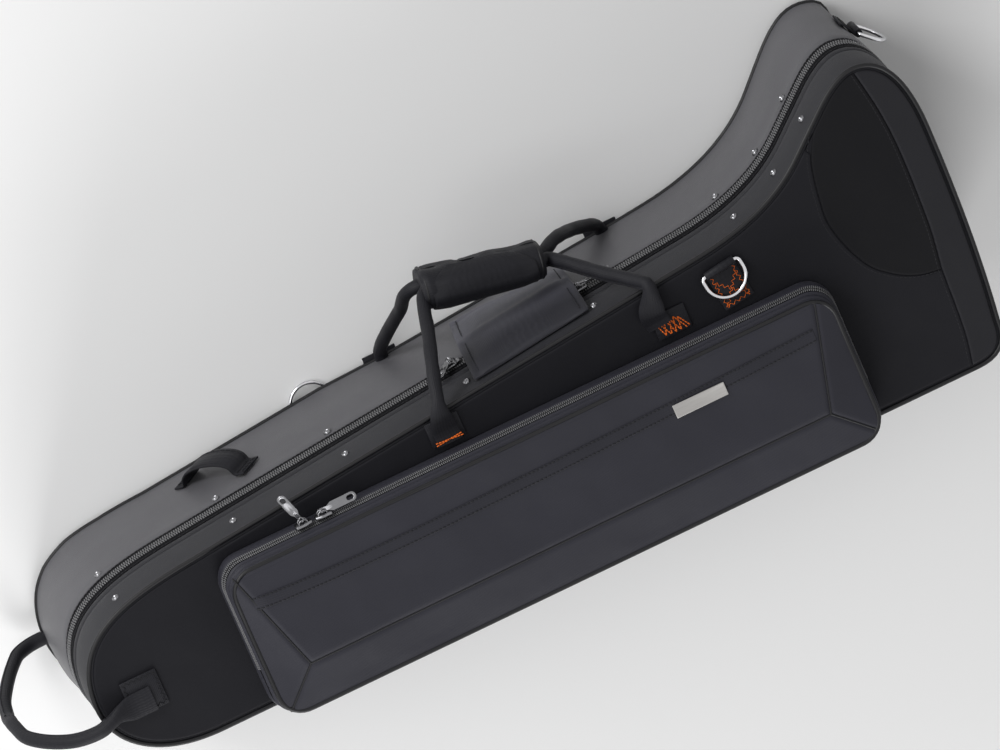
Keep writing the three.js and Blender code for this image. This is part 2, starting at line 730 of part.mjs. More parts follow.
function makeSideLoop() {
  const half = sideLoopLength / 2;
  const arch = (grow, i) => {
    const turn = (i / sideLoopSteps) * Math.PI;
    const radius = half - sideLoopFoot + grow;
    return new THREE.Vector2(-radius * Math.cos(turn), clearance + (sideLoopRise + grow) * Math.sin(turn));
  };
  const steps = Array.from({ length: sideLoopSteps + 1 }, (_, i) => i);
  const under = steps.map((i) => arch(0, i));
  const over = steps.slice(1, -1).map((i) => arch(strapThickness, i)).reverse();
  const foot = clearance + strapThickness;
  const loop = [new THREE.Vector2(-half, clearance), ...under, new THREE.Vector2(half, clearance),
    new THREE.Vector2(half, foot), new THREE.Vector2(half - sideLoopFoot + strapThickness, foot), ...over,
    new THREE.Vector2(sideLoopFoot - half - strapThickness, foot), new THREE.Vector2(-half, foot)];
  const width = sideLoopWidth;
  const solid = toSolid(new THREE.ExtrudeGeometry(new THREE.Shape(loop), { depth: width, bevelEnabled: false })
    .translate(0, 0, -width / 2).rotateX(Math.PI / 2));
  const frame = spineFrame(sideLoopAlong, sideLoopHeight).multiply(new THREE.Matrix4().makeRotationZ(sideLoopTurn));
  addPiece("side_loop", placeSolid(solid, frame), colours.webbing);
}

// Rings and their tabs, made flat on a face: the bar lies across X, and the ring hangs towards -Y

function ringSolid(wireRadius) {
  const half = ringWidth / 2;
  const bend = wireRadius * 2;
  const path = new THREE.Path();
  path.moveTo(-half + bend, 0);
  path.lineTo(half - bend, 0);
  path.quadraticCurveTo(half, 0, half, -bend);
  path.absellipse(0, half - ringDepth, half, half, 0, Math.PI, true);
  path.lineTo(-half, -bend);
  path.quadraticCurveTo(-half, 0, -half + bend, 0);
  const points = path.getPoints(ringArcSteps / 2);
  const centres = points.filter((point, i) => point.distanceTo(points.at(i - 1)) > clearance);
  const positions = [];
  const indices = [];
  centres.forEach((centre, i) => {
    const before = centres.at(i - 1);
    const after = centres[(i + 1) % centres.length];
    const direction = after.clone().sub(before).normalize();
    for (const spoke of roundLoop(wireRadius, ringSides)) {
      positions.push(centre.x + direction.y * spoke.x, centre.y - direction.x * spoke.x, spoke.y);
    }
    for (let side = 0; side < ringSides; side += 1) {
      const here = i * ringSides;
      const there = ((i + 1) % centres.length) * ringSides;
      const next = (side + 1) % ringSides;
      indices.push(here + side, there + side, there + next, here + side, there + next, here + next);
    }
  });
  const geometry = new THREE.BufferGeometry();
  geometry.setAttribute("position", new THREE.BufferAttribute(new Float32Array(positions), 3));
  geometry.setIndex(indices);
  return toSolid(geometry);
}

function makeRing(name, frame, { wireRadius, thickness, tunnelWall, tabLength, tabSide, tilt = 0 }) {
  const innerRadius = wireRadius + tunnelClearance;
  const outerRadius = innerRadius + tunnelWall;
  const barHeight = clearance + outerRadius;
  const half = (ringWidth - 4 * wireRadius - 2 * clearance) / 2;
  const across = Math.min(half, tabWidth / 2);
  const west = new THREE.Vector3(-across, 0, barHeight);
  const east = new THREE.Vector3(across, 0, barHeight);
  const reach = new THREE.Vector3(overrun, 0, 0);
  const roll = rod(outerRadius, tunnelSides, west, east);
  const hole = rod(innerRadius, tunnelSides, west.clone().sub(reach), east.clone().add(reach));
  const plate = box(new THREE.Vector3(-across, 0, clearance),
    new THREE.Vector3(across, tabSide * tabLength, clearance + thickness));
  const tab = join([roll, plate]).subtract(hole);
  const hung = new THREE.Matrix4().makeRotationX(-tilt).setPosition(0, 0, barHeight);
  const ring = placeSolid(ringSolid(wireRadius), hung);
  addPiece(`${name}_tab`, placeSolid(tab, frame), colours.webbing);
  addPiece(name, placeSolid(ring, frame), colours.chrome);
}

function makeRings() {
  const strong = { wireRadius: ringWireRadius, thickness: tabThickness, tunnelWall: tabTunnelWall };
  const frontDirection = new THREE.Vector3(-Math.cos(frontRingAngle), -Math.sin(frontRingAngle), 0);
  const frontFrame = faceFrame(at(frontRingAlong, frontRingRise, frontHeight), frontDirection, new THREE.Vector3(0, 0, 1));
  makeRing("front_ring", frontFrame, { ...strong, tabLength: frontTabLength, tabSide: -1 });

  const place = bellCorner.getPoint(endRingShare);
  const run = bellCorner.getTangent(endRingShare);
  const out = new THREE.Vector3(run.y, -run.x, 0);
  const bar = new THREE.Vector3(0, 0, -1);
  const endFrame = faceFrame(at(place.x, -place.y, endRingHeight), bar, out);
  makeRing("end_ring", endFrame, { ...strong, tabLength: endTabLength, tabSide: 1, tilt: endRingTilt });

  const { rise, direction, out: backOut } = spineAt(backRingAlong);
  const backPlace = at(backRingAlong, rise, backHeight).addScaledVector(backOut, -backRingInset);
  const backFrame = faceFrame(backPlace, direction.negate(), new THREE.Vector3(0, 0, -1));
  makeRing("back_ring", backFrame, { wireRadius: backWireRadius, thickness: backTabThickness,
    tunnelWall: backTunnelWall, tabLength: backTabLength, tabSide: 1 });
}

// Flap over the main zip

function flapHalf(low, high) {
  const whole = flapTipHeight - flapRootHeight;
  const point = (step, lift) => {
    const height = low + ((high - low) * step) / flapSteps;
    const share = (height - flapRootHeight) / whole;
    const bulge = flapBulge * Math.sin(Math.PI * share);
    return new THREE.Vector2(height, clearance + bulge + lift);
  };
  const steps = Array.from({ length: flapSteps + 1 }, (_, i) => i);
  const loop = [...steps.map((step) => point(step, 0)), ...steps.map((step) => point(step, flapThickness)).reverse()];
  const width = flapTailAlong - flapBellAlong;
  const geometry = new THREE.ExtrudeGeometry(new THREE.Shape(loop), { depth: width, bevelEnabled: false });
  const middle = (flapTailAlong + flapBellAlong) / 2;
  const frame = new THREE.Matrix4().makeBasis(new THREE.Vector3(0, 0, 1), straight.out,
    new THREE.Vector3().crossVectors(new THREE.Vector3(0, 0, 1), straight.out));
  frame.setPosition(at(middle, spineRise(middle), 0));
  return placeSolid(toSolid(geometry.translate(0, 0, -width / 2)), frame);
}

function makeFlap() {
  addPiece("zip_flap_root", flapHalf(flapRootHeight, flapFoldHeight - flapFoldGap), colours.frontFabric);
  addPiece("zip_flap", flapHalf(flapFoldHeight + flapFoldGap, flapTipHeight), colours.frontFabric);
}

// Sliders and pulls, made flat on a face: X along the chain, the nose towards +X, Z out of the face

function sliderSolid(seat) {
  const half = sliderLength / 2;
  const wide = sliderWidth / 2;
  const nose = sliderNose / 2;
  const loop = [new THREE.Vector2(-half, -nose), new THREE.Vector2(0, -wide), new THREE.Vector2(half, -wide),
    new THREE.Vector2(half, wide), new THREE.Vector2(0, wide), new THREE.Vector2(-half, nose)];
  const top = seat + sliderThickness;
  const post = sliderBarRadius;
  const bridge = sliderBridgeWidth / 2;
  const barHeight = top + sliderBridgeRise;
  const posts = [-1, 1].map((side) => box(
    new THREE.Vector3(-sliderBridgeLength / 2, side * (bridge - sliderPostThickness), seat + post),
    new THREE.Vector3(sliderBridgeLength / 2, side * bridge, barHeight),
  ));
  const bar = rod(sliderBarRadius, sliderBarSides, new THREE.Vector3(0, -bridge, barHeight - post),
    new THREE.Vector3(0, bridge, barHeight - post));
  return { solid: join([slab(loop, seat, top), ...posts, bar]), pin: new THREE.Vector3(0, 0, barHeight - post) };
}

function pullSolid() {
  const half = pullWidth / 2;
  const neck = sliderBridgeWidth / 2 - sliderPostThickness - partingGap;
  const start = -pullEyeRadius - pullEdge / 2;
  const waist = sliderBridgeLength / 2 + pullEdge + clearance;
  const loop = [new THREE.Vector2(start, -neck), new THREE.Vector2(waist, -neck), new THREE.Vector2(waist + half, -half),
    new THREE.Vector2(pullLength - half / 2, -half), new THREE.Vector2(pullLength, -half / 2),
    new THREE.Vector2(pullLength, half / 2), new THREE.Vector2(pullLength - half / 2, half),
    new THREE.Vector2(waist + half, half), new THREE.Vector2(waist, neck), new THREE.Vector2(start, neck)];
  const window = [new THREE.Vector2(waist + half, -pullEyeWidth / 2), new THREE.Vector2(pullLength - half, -pullEyeWidth / 2),
    new THREE.Vector2(pullLength - half, pullEyeWidth / 2), new THREE.Vector2(waist + half, pullEyeWidth / 2)];
  const blade = slab(loop, -pullThickness / 2, pullThickness / 2);
  const eye = rod(pullEyeRadius + pullEdge / 2, sliderBarSides, new THREE.Vector3(0, -neck, 0), new THREE.Vector3(0, neck, 0));
  const eyeHole = rod(sliderBarRadius + partingGap, sliderBarSides,
    new THREE.Vector3(0, -pullWidth, 0), new THREE.Vector3(0, pullWidth, 0));
  return join([blade, eye]).subtract(eyeHole).subtract(slab(window, -pullThickness, pullThickness));
}

function makeSlider(name, frame, seat, towards, pullAngle) {
  const turned = frame.clone().multiply(new THREE.Matrix4().makeRotationZ(towards < 0 ? Math.PI : 0));
  const { solid, pin } = sliderSolid(seat);
  const pullPlace = new THREE.Matrix4().makeRotationY(-pullAngle).setPosition(pin);
  addPiece(`${name}_slider`, placeSolid(solid, turned), colours.chrome);
  addPiece(`${name}_pull`, placeSolid(pullSolid(), turned.clone().multiply(pullPlace)), colours.chrome);
}

function makeMainSliders() {
  const seat = zipProud + clearance;
  makeSlider("tail_zip", spineFrame(mainSliderAlongs.tail, partingHeight), seat, 1, 0);
  makeSlider("bell_zip", spineFrame(mainSliderAlongs.bell, partingHeight), seat, -1, 0);
}

// Front pocket

const pocketFloor = frontHeight + clearance;
const pocketZipHeight = frontHeight + pocketGussetHeight + pocketZipHalf;
const pocketTop = frontHeight + pocketDepth;

function pocketLoop(grow) {
  const [near, far] = pocketAlong;
  const [low, high] = pocketRise;
  const corner = pocketCorner + grow;
  const centres = [
    [far - pocketCorner, -low - pocketCorner, 0],
    [near + pocketCorner, -low - pocketCorner, Math.PI / 2],
    [near + pocketCorner, -high + pocketCorner, Math.PI],
    [far - pocketCorner, -high + pocketCorner, 3 * Math.PI / 2],
  ];
  return centres.flatMap(([x, y, start]) => Array.from({ length: pocketCornerSteps + 1 }, (_, i) => {
    const turn = start + (i / pocketCornerSteps) * Math.PI / 2;
    return new THREE.Vector2(x + corner * Math.cos(turn), y + corner * Math.sin(turn));
  }));
}

function makePocket() {
  const outer = pocketLoop(0);
  const inner = pocketLoop(-pocketWall);
  const gussetTop = frontHeight + pocketGussetHeight;
  const skirtBottom = gussetTop + 2 * pocketZipHalf;
  const plateBottom = pocketTop - pocketPanelThickness;
  addPiece("pocket_gusset", band(outer, inner, pocketFloor, gussetTop), colours.frontFabric);
  const skirt = band(outer, inner, skirtBottom, pocketTop - pocketPipingHeight - clearance);
  const plate = slab(inner, plateBottom - pocketPipingHeight, pocketTop);
  const seat = slab(outer, plateBottom - pocketPipingHeight, pocketTop - pocketPipingHeight - clearance);
  const edge = inner.map((point) => [point.x, point.y, pocketTop]);
  const sunk = inner.map((point) => [point.x, point.y, pocketTop - pocketPanelThickness]);
  const crest = [
    ...pocketCreaseAlong.map((along) => [along, -pocketCreaseRise, pocketTop + pocketHipRise]),
    ...pocketSeamAlong.map((along) => [along, -pocketSeamRise, pocketTop + pocketHipRise]),
  ];
  const hip = wasm.Manifold.hull([...sunk, ...edge, ...crest]);
  addPiece("pocket_panel", join([skirt, seat, plate, hip]), colours.frontFabric);
  const piping = band(pocketLoop(pocketPipingProud), pocketLoop(clearance - pocketWall), pocketTop - pocketPipingHeight, pocketTop);
  addPiece("pocket_piping", piping, colours.piping);
  const chain = (low, high) => band(pocketLoop(pocketZipProud), pocketLoop(-pocketWall / 2), low, high)
    .intersect(box(at(0, pocketRise[0] + pocketZipSetback, 0), at(caseLength, caseLength, frontHeight + caseLength)));
  addPiece("pocket_zip_gusset_chain", chain(gussetTop + clearance, pocketZipHeight - partingGap), colours.coil);
  addPiece("pocket_zip_panel_chain", chain(pocketZipHeight + partingGap, skirtBottom - clearance), colours.coil);
  for (const [side, towards, pullAngle] of [["tail", 1, pocketTailPullAngle], ["bell", -1, 0]]) {
    const frame = faceFrame(at(caseLength - pocketSliderRuns[side], pocketRise[1], pocketZipHeight),
      new THREE.Vector3(1, 0, 0), new THREE.Vector3(0, -1, 0));
    makeSlider(`pocket_${side}`, frame, pocketZipProud + clearance, towards, pullAngle);
  }
}

function makePlate() {
  const low = pocketTop + pocketHipRise + clearance;
  const near = at(plateAlong - plateLength / 2, plateRise - plateWidth / 2, low);
  const far = at(plateAlong + plateLength / 2, plateRise + plateWidth / 2, low + plateThickness);
  addPiece("name_plate", box(near, far), colours.plate);
}

makeShells();
makeMainZip();
makeHinge();
makeRivets("base_rivets", rivetBaseHeight);
makeRivets("lid_rivets", rivetLidHeight);
makeFoam();
makeMouthpieceBlock();
makeStraps();
makeHandles();
makeGrip();
makeTailHandle();
makeSideLoop();
makeRings();
makeFlap();
makeMainSliders();
makePocket();
makePlate();

// The origin is the middle of the case's box, on the surface that it lies on
const extent = new THREE.Box3().setFromObject(trombone_case);
const centre = extent.getCenter(new THREE.Vector3());
trombone_case.position.set(-centre.x, -centre.y, -extent.min.z);
trombone_case.updateMatrixWorld(true);

export default trombone_case;
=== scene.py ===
"""A soft-sided trombone case with a zipped lid, a front pocket, carrying handles and strap rings.

The case lies on its back. Along runs from the bell end to the tail (+X), rise from the hinge
side to the spine with the handles (-Y), and height from the floor (+Z). Lengths are metres.
"""

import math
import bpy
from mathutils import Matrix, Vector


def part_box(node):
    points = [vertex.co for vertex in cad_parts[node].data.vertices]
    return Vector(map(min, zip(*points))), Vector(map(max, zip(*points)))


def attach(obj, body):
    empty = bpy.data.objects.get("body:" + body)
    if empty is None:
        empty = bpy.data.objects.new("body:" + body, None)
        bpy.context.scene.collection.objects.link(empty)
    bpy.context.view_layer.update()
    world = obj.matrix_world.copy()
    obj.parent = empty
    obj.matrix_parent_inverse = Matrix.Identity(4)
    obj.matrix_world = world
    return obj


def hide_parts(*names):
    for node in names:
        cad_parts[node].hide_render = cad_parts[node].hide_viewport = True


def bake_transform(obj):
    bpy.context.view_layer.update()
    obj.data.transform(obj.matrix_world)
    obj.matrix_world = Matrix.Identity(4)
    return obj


bl_info = {
    "name": "Trombone case",
    "version": (1, 0, 0),
    "blender": (4, 5, 0),
    "location": "View3D > Sidebar > Case",
    "description": "Builds the fabric, zips, handles and fittings of a trombone case",
    "category": "Add Mesh",
}

import bmesh
import bpy
from mathutils import Matrix, Vector, noise
from mathutils.geometry import interpolate_bezier
from mathutils.kdtree import KDTree

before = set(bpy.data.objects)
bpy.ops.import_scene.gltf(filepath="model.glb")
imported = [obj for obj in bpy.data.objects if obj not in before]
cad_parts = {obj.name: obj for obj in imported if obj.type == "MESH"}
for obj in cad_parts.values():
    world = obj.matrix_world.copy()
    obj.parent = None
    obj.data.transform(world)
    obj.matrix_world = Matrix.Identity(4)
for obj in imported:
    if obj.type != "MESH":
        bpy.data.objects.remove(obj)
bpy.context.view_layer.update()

# Places that the case is laid out from
CASE_LENGTH = 0.930
FRONT = 0.242
BACK = 0.007
PARTING = 0.152
SPINE_SLOPE = math.tan(math.radians(5.55))
SPINE_TAIL = Vector((0.800, 0.1626))
SPINE_BELL_ALONG = 0.250
TAIL_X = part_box("base_shell")[1][0]
HINGE_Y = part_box("base_shell")[1][1]
RIVET_ALONGS = (0.869, 0.740, 0.619, 0.488, 0.351, 0.197, 0.146, 0.102)
RIVET_BASE_HEIGHT = 0.128
RIVET_LID_HEIGHT = 0.210
UP = Vector((0, 0, 1))

# Curve of the outline's corner above the bell, and the ring that is sewn on it
BELL_CORNER = ((0.001, 0.235), (0.001, 0.285), (0.014, 0.3185), (0.045, 0.3185))
END_RING_HEIGHT = 0.081

# Ends of the padded grip, and what the rolled handles share with it
GRIP_BELL = (0.372, 0.251)
GRIP_TAIL = (0.488, 0.275)
GRIP_HEIGHT = 0.147
HANDLE_STEP = 0.004
SEAM_RADIUS = 0.0011
FLAT_HALF = 0.0125
FLAT_THICKNESS = 0.0014

# Patches of the rolled handles: the tail one first, then the bell one
FRONT_PATCHES = (0.528, 0.294)
BACK_PATCHES = (0.534, 0.295)
PATCH_RISE = 0.172
PATCH_THICKNESS = 0.0022
PATCH_EDGE = 0.0008
PATCH_STITCHES = (
    (((-0.014, -0.0072), (0.014, -0.0096)), ((-0.014, -0.0098), (0.013, -0.0070))),
    (((-0.015, 0.010), (-0.004, -0.011), (-0.001, 0.004), (0.006, -0.011), (0.007, 0.003), (0.015, -0.010)),
     ((-0.014, 0.002), (-0.009, -0.010), (-0.006, 0.006), (0.001, -0.011), (0.003, 0.005), (0.012, -0.011))),
)


def held(share):
    """A share held between 0 and 1."""
    return max(0, min(1, share))


def eased(share):
    """A held share with a soft start and end."""
    share = held(share)
    return share * share * (3 - 2 * share)


def squared(value, power):
    """A sine or cosine to a power below 1 with its sign kept, which makes a round section fuller."""
    return math.copysign(abs(value) ** power, value)


def moved_to(point, height):
    """The same place at another height."""
    return Vector((*point.xy, height))


def at(along, rise, height):
    """A point of the case from its place along the case, its rise and its height."""
    return Vector((TAIL_X - CASE_LENGTH + along, HINGE_Y - rise, height))


# Outline of the case, as even steps anticlockwise seen from the front


def quadratic(start, pull, end, steps=16):
    """Points on a curve with one pull point."""
    return interpolate_bezier(start, start.lerp(pull, 2 / 3), end.lerp(pull, 2 / 3), end, steps)


def case_outline():
    """The outline's key points and curves, from the tail end of the hinge side round to it."""
    flat = lambda along, rise: at(along, rise, 0)
    spine_bell = flat(SPINE_BELL_ALONG, SPINE_TAIL.y + (SPINE_TAIL.x - SPINE_BELL_ALONG) * SPINE_SLOPE)
    spine_tail = flat(*SPINE_TAIL)
    points = [flat(0.830, 0)]
    points += quadratic(flat(0.046, 0), flat(0.012, 0), flat(0.012, 0.034))
    points += quadratic(flat(0.012, 0.034), flat(0.001, 0.120), flat(0.001, 0.235))
    points += interpolate_bezier(*[flat(*spot) for spot in BELL_CORNER], 24)
    points += quadratic(flat(0.045, 0.3185), flat(0.062, 0.3185), flat(0.087, 0.297))
    points += quadratic(flat(0.128, 0.2615), flat(0.172, 0.2234), spine_bell)
    points += interpolate_bezier(spine_tail, flat(0.872, 0.1556), flat(0.930, 0.140), flat(0.930, 0.072), 24)
    points += interpolate_bezier(flat(0.930, 0.072), flat(0.930, 0.030), flat(0.893, 0), flat(0.830, 0), 24)
    return points


def even_steps(points, step, closed=True):
    """The same line, with its points at even distances."""
    ring = list(points) + ([points[0]] if closed else [])
    ring = [point for i, point in enumerate(ring) if i == 0 or (point - ring[i - 1]).length > 1e-6]
    reach = [0.0]
    for before, after in zip(ring, ring[1:]):
        reach.append(reach[-1] + (after - before).length)
    count = max(2, round(reach[-1] / step))
    even = []
    place = 0
    for i in range(count + (0 if closed else 1)):
        distance = reach[-1] * i / count
        while place < len(reach) - 2 and reach[place + 1] < distance:
            place += 1
        share = (distance - reach[place]) / (reach[place + 1] - reach[place])
        even.append(ring[place].lerp(ring[place + 1], min(max(share, 0), 1)))
    return even


OUTLINE = even_steps(case_outline(), 0.006)
OUTLINE_STEP = (OUTLINE[1] - OUTLINE[0]).length
PERIMETER = OUTLINE_STEP * len(OUTLINE)


def rim(share):
    """A point of the outline, and its outward and onward directions, at a share of its length."""
    place = (share % 1) * len(OUTLINE)
    i = int(place)
    pick = lambda k: OUTLINE[k % len(OUTLINE)]
    point = pick(i).lerp(pick(i + 1), place - i)
    onward = (pick(i + 2) - pick(i - 1)).normalized()
    return point, Vector((onward.y, -onward.x, 0)), onward


def spine_share(along):
    """The share at which the outline's spine side passes a place along the case."""
    x = at(along, 0, 0).x
    for i, point in enumerate(OUTLINE):
        after = OUTLINE[(i + 1) % len(OUTLINE)]
        if point.x <= x < after.x:
            return (i + (x - point.x) / (after.x - point.x)) / len(OUTLINE)
    raise ValueError(f"no spine at {along}")


# How far the back edge stands out from the front edge's outline on the spine side
BACK_SHIFTS = (
    (0.0, 0.003), (0.020, 0.005), (0.060, 0.003), (0.092, 0.0), (0.125, -0.004), (0.180, -0.006),
    (0.240, -0.0075), (0.296, -0.008), (0.420, -0.006), (0.534, -0.004), (0.600, 0.0), (0.790, 0.001),
    (0.841, 0.0035), (0.874, 0.007), (0.900, 0.007), (0.932, 0.003),
)

# The end ring's place on the corner, between the points before and after it
END_RING = interpolate_bezier(*[at(*spot, 0) for spot in BELL_CORNER], 101)[51:54]


def back_shift(point, height):
    """The spine side's shift at a height, as a distance outwards."""
    rise = HINGE_Y - point.y
    along = point.x - TAIL_X + CASE_LENGTH
    for (low, first), (high, second) in zip(BACK_SHIFTS, BACK_SHIFTS[1:]):
        if low <= along <= high:
            whole = first + (second - first) * (along - low) / (high - low)
            depth = held((PARTING - height) / (PARTING - BACK))
            shift = whole * depth * held((rise - 0.06) / 0.06)
            end = eased((rise - 0.20) / 0.09) * eased((0.026 - along) / 0.020)
            corner = 0.0085 * end * eased((0.100 - height) / 0.090)
            tab = (point.xy - END_RING[1].xy).length_squared / 0.020 ** 2
            tab += (height - END_RING_HEIGHT) ** 2 / 0.030 ** 2
            return shift * (1 - 0.8 * end) - corner - 0.0026 * math.exp(-tab)
    return 0


def wall_point(share, offset, height):
    """A point on the side of the case, a distance out from its outline."""
    point, outward, _ = rim(share)
    return point + outward * (offset + back_shift(point, height)) + UP * height


def spine_frame(along, height, offset=0):
    """A matrix on the spine: X along the case, Y up and Z out of the spine."""
    share = spine_share(along)
    _, outward, onward = rim(share)
    return Matrix.Translation(wall_point(share, offset, height)) @ axes(onward, UP, outward)


def axes(x, y, z):
    """The turn that has these three directions."""
    return Matrix((x, y, z)).transposed().to_4x4()


# Making meshes


def verts_of(items):
    """The vertices among the items that an operator gives."""
    return [item for item in items if isinstance(item, bmesh.types.BMVert)]


def bevelled(bm, offset, rings=1, edges=None):
    """Rounds all edges of the mesh, or some of them."""
    bmesh.ops.bevel(bm, geom=edges or bm.edges, offset=offset, segments=rings, profile=0.5, affect="EDGES",
                    material=-1)


def grid_mesh(across, along, place, span, closed_across=False, closed_along=False, capped=False):
    """A grid with every point put in place by a function of its two shares, and UVs in metres."""
    bm = bmesh.new()
    bmesh.ops.create_grid(bm, x_segments=across, y_segments=along, size=0.5, calc_uvs=True)
    layer = bm.loops.layers.uv.verify()
    for face in bm.faces:
        for loop in face.loops:
            loop[layer].uv = ((loop.vert.co.x + 0.5) * span[0], (loop.vert.co.y + 0.5) * span[1])
    for vert in bm.verts:
        vert.co = place(round(vert.co.x + 0.5, 6), round(vert.co.y + 0.5, 6))
    if closed_across or closed_along:
        bmesh.ops.remove_doubles(bm, verts=bm.verts, dist=2e-6)
    if capped:
        bmesh.ops.holes_fill(bm, edges=bm.edges, sides=0)
        bmesh.ops.recalc_face_normals(bm, faces=bm.faces)
    return bm


def tube_mesh(points, radius, sides=14, closed=False, shape=None):
    """A round tube along a line of points, or one with the section that shape gives."""
    count = len(points)
    length = sum((b - a).length for a, b in zip(points, points[1:]))
    frames = carried_frames(points, closed)

    def place(u, v):
        i = round(v * (count - (0 if closed else 1)))
        origin, side, lift = frames[i % count]
        turn = 2 * math.pi * u
        wide, high = shape(v) if shape else (radius, radius)
        return origin + side * (wide * math.cos(turn)) + lift * (high * math.sin(turn))

    rows = count if closed else count - 1
    return grid_mesh(sides, rows, place, (2 * math.pi * radius, length), True, closed, not closed)


def carried_frames(points, closed=False, lift=None):
    """A side and a lift direction at each point of a line, carried along it without twist."""
    count = len(points)
    frames = []
    lift = lift or UP
    for i, point in enumerate(points):
        before = points[(i - 1) % count] if closed or i > 0 else point
        after = points[(i + 1) % count] if closed or i < count - 1 else point
        onward = (after - before).normalized()
        side = onward.cross(lift)
        if side.length < 1e-4:
            side = onward.orthogonal()
        side.normalize()
        lift = side.cross(onward).normalized()
        frames.append((point, side, lift))
    return frames


def strap_mesh(points, lift, width, thickness):
    """Flat webbing along a line of points, with rounded edges; its face looks towards lift."""
    count = len(points)
    length = sum((b - a).length for a, b in zip(points, points[1:]))
    frames = carried_frames(points, lift=lift)
    half = width / 2 - thickness / 2

    def place(u, v):
        origin, side, up = frames[round(v * (count - 1))]
        turn = 2 * math.pi * u
        edge = math.copysign(half, math.cos(turn)) if abs(math.cos(turn)) > 1e-6 else 0
        return origin + side * (edge + thickness / 2 * math.cos(turn)) + up * (thickness / 2 * math.sin(turn))

    return grid_mesh(12, count - 1, place, (2 * width, length), True, False, True)


def smooth_line(points, step, closed=False):
    """An even line through the points, curved between them."""
    count = len(points)
    pick = lambda i: points[i % count] if closed else points[max(0, min(count - 1, i))]
    dense = []
    for i in range(count if closed else count - 1):
        before, start, end, after = pick(i - 1), pick(i), pick(i + 1), pick(i + 2)
        pull = (end - start).length / 3
        leave = (end - before).normalized() * pull
        arrive = (after - start).normalized() * pull
        dense += interpolate_bezier(start, start + leave, end - arrive, end, 12)[:-1]
    if not closed:
        dense.append(points[-1])
    return even_steps(dense, step, closed)


def panel_mesh(loop, thickness, roll, rings=3):
    """A flat panel from a closed loop of points, raised by its thickness, with a rolled edge."""
    bm = bmesh.new()
    verts = [bm.verts.new(point) for point in loop]
    face = bm.faces.new(verts)
    bm.normal_update()
    if face.normal.z < 0:
        face.normal_flip()
    raised = bmesh.ops.extrude_face_region(bm, geom=[face])["geom"]
    moved = verts_of(raised)
    bmesh.ops.translate(bm, verts=moved, vec=UP * thickness)
    chosen = set(moved)
    edges = [edge for edge in bm.edges if edge.verts[0] in chosen and edge.verts[1] in chosen]
    bevelled(bm, roll, rings, edges)
    bmesh.ops.recalc_face_normals(bm, faces=bm.faces)
    wide = [max(bm.faces, key=lambda face: (face.normal.z > 0.99) * face.calc_area())]
    bmesh.ops.inset_region(bm, faces=wide, thickness=0.0012)
    box_uvs(bm)
    return bm


def box_uvs(bm):
    """UVs in metres, straight down the axis that each face looks along."""
    layer = bm.loops.layers.uv.verify()
    for face in bm.faces:
        facing = max(range(3), key=lambda k: abs(face.normal[k]))
        first, second = [k for k in range(3) if k != facing]
        for loop in face.loops:
            loop[layer].uv = (loop.vert.co[first], loop.vert.co[second])


def block_mesh(size, matrix, edge, rings=2):
    """A block of this size with bevelled edges, put in place by a matrix."""
    bm = bmesh.new()
    bmesh.ops.create_cube(bm, size=1, matrix=Matrix.Diagonal((*size, 1)))
    bevelled(bm, edge, rings)
    box_uvs(bm)
    bmesh.ops.transform(bm, matrix=matrix, verts=bm.verts)
    return bm


def add_copies(bm, matrices):
    """Copies of everything in the mesh, one for each matrix, in place of the first."""
    first = list(bm.verts) + list(bm.edges) + list(bm.faces)
    for matrix in matrices:
        copied = bmesh.ops.duplicate(bm, geom=first)["geom"]
        bmesh.ops.transform(bm, matrix=matrix, verts=verts_of(copied))
    bmesh.ops.delete(bm, geom=verts_of(first), context="VERTS")


def merge(bm, other):
    """Adds another mesh to this one."""
    mesh = bpy.data.meshes.new("part")
    other.to_mesh(mesh)
    other.free()
    bm.from_mesh(mesh)
    bpy.data.meshes.remove(mesh)


def piece(name, bm, finish, body, stands_for=(), slot=None, sharp=math.radians(50)):
    """A finished piece from its mesh, on its body and in place of its CAD nodes."""
    mesh = bpy.data.meshes.new(name)
    bm.to_mesh(mesh)
    bm.free()
    mesh.shade_smooth()
    mesh.set_sharp_from_angle(angle=sharp)
    mesh.materials.append(finishes()[finish])
    made = bpy.data.objects.new(name, mesh)
    bpy.context.scene.collection.objects.link(made)
    if body:
        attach(made, body)
    if stands_for:
        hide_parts(*stands_for)
    slot or finish
    return made


def stitching(name, bm, body, finish="dark_thread"):
    """A piece of stitches."""
    piece(name, bm, finish, body, slot="webbing")


# Finishes

FINISHES = {}


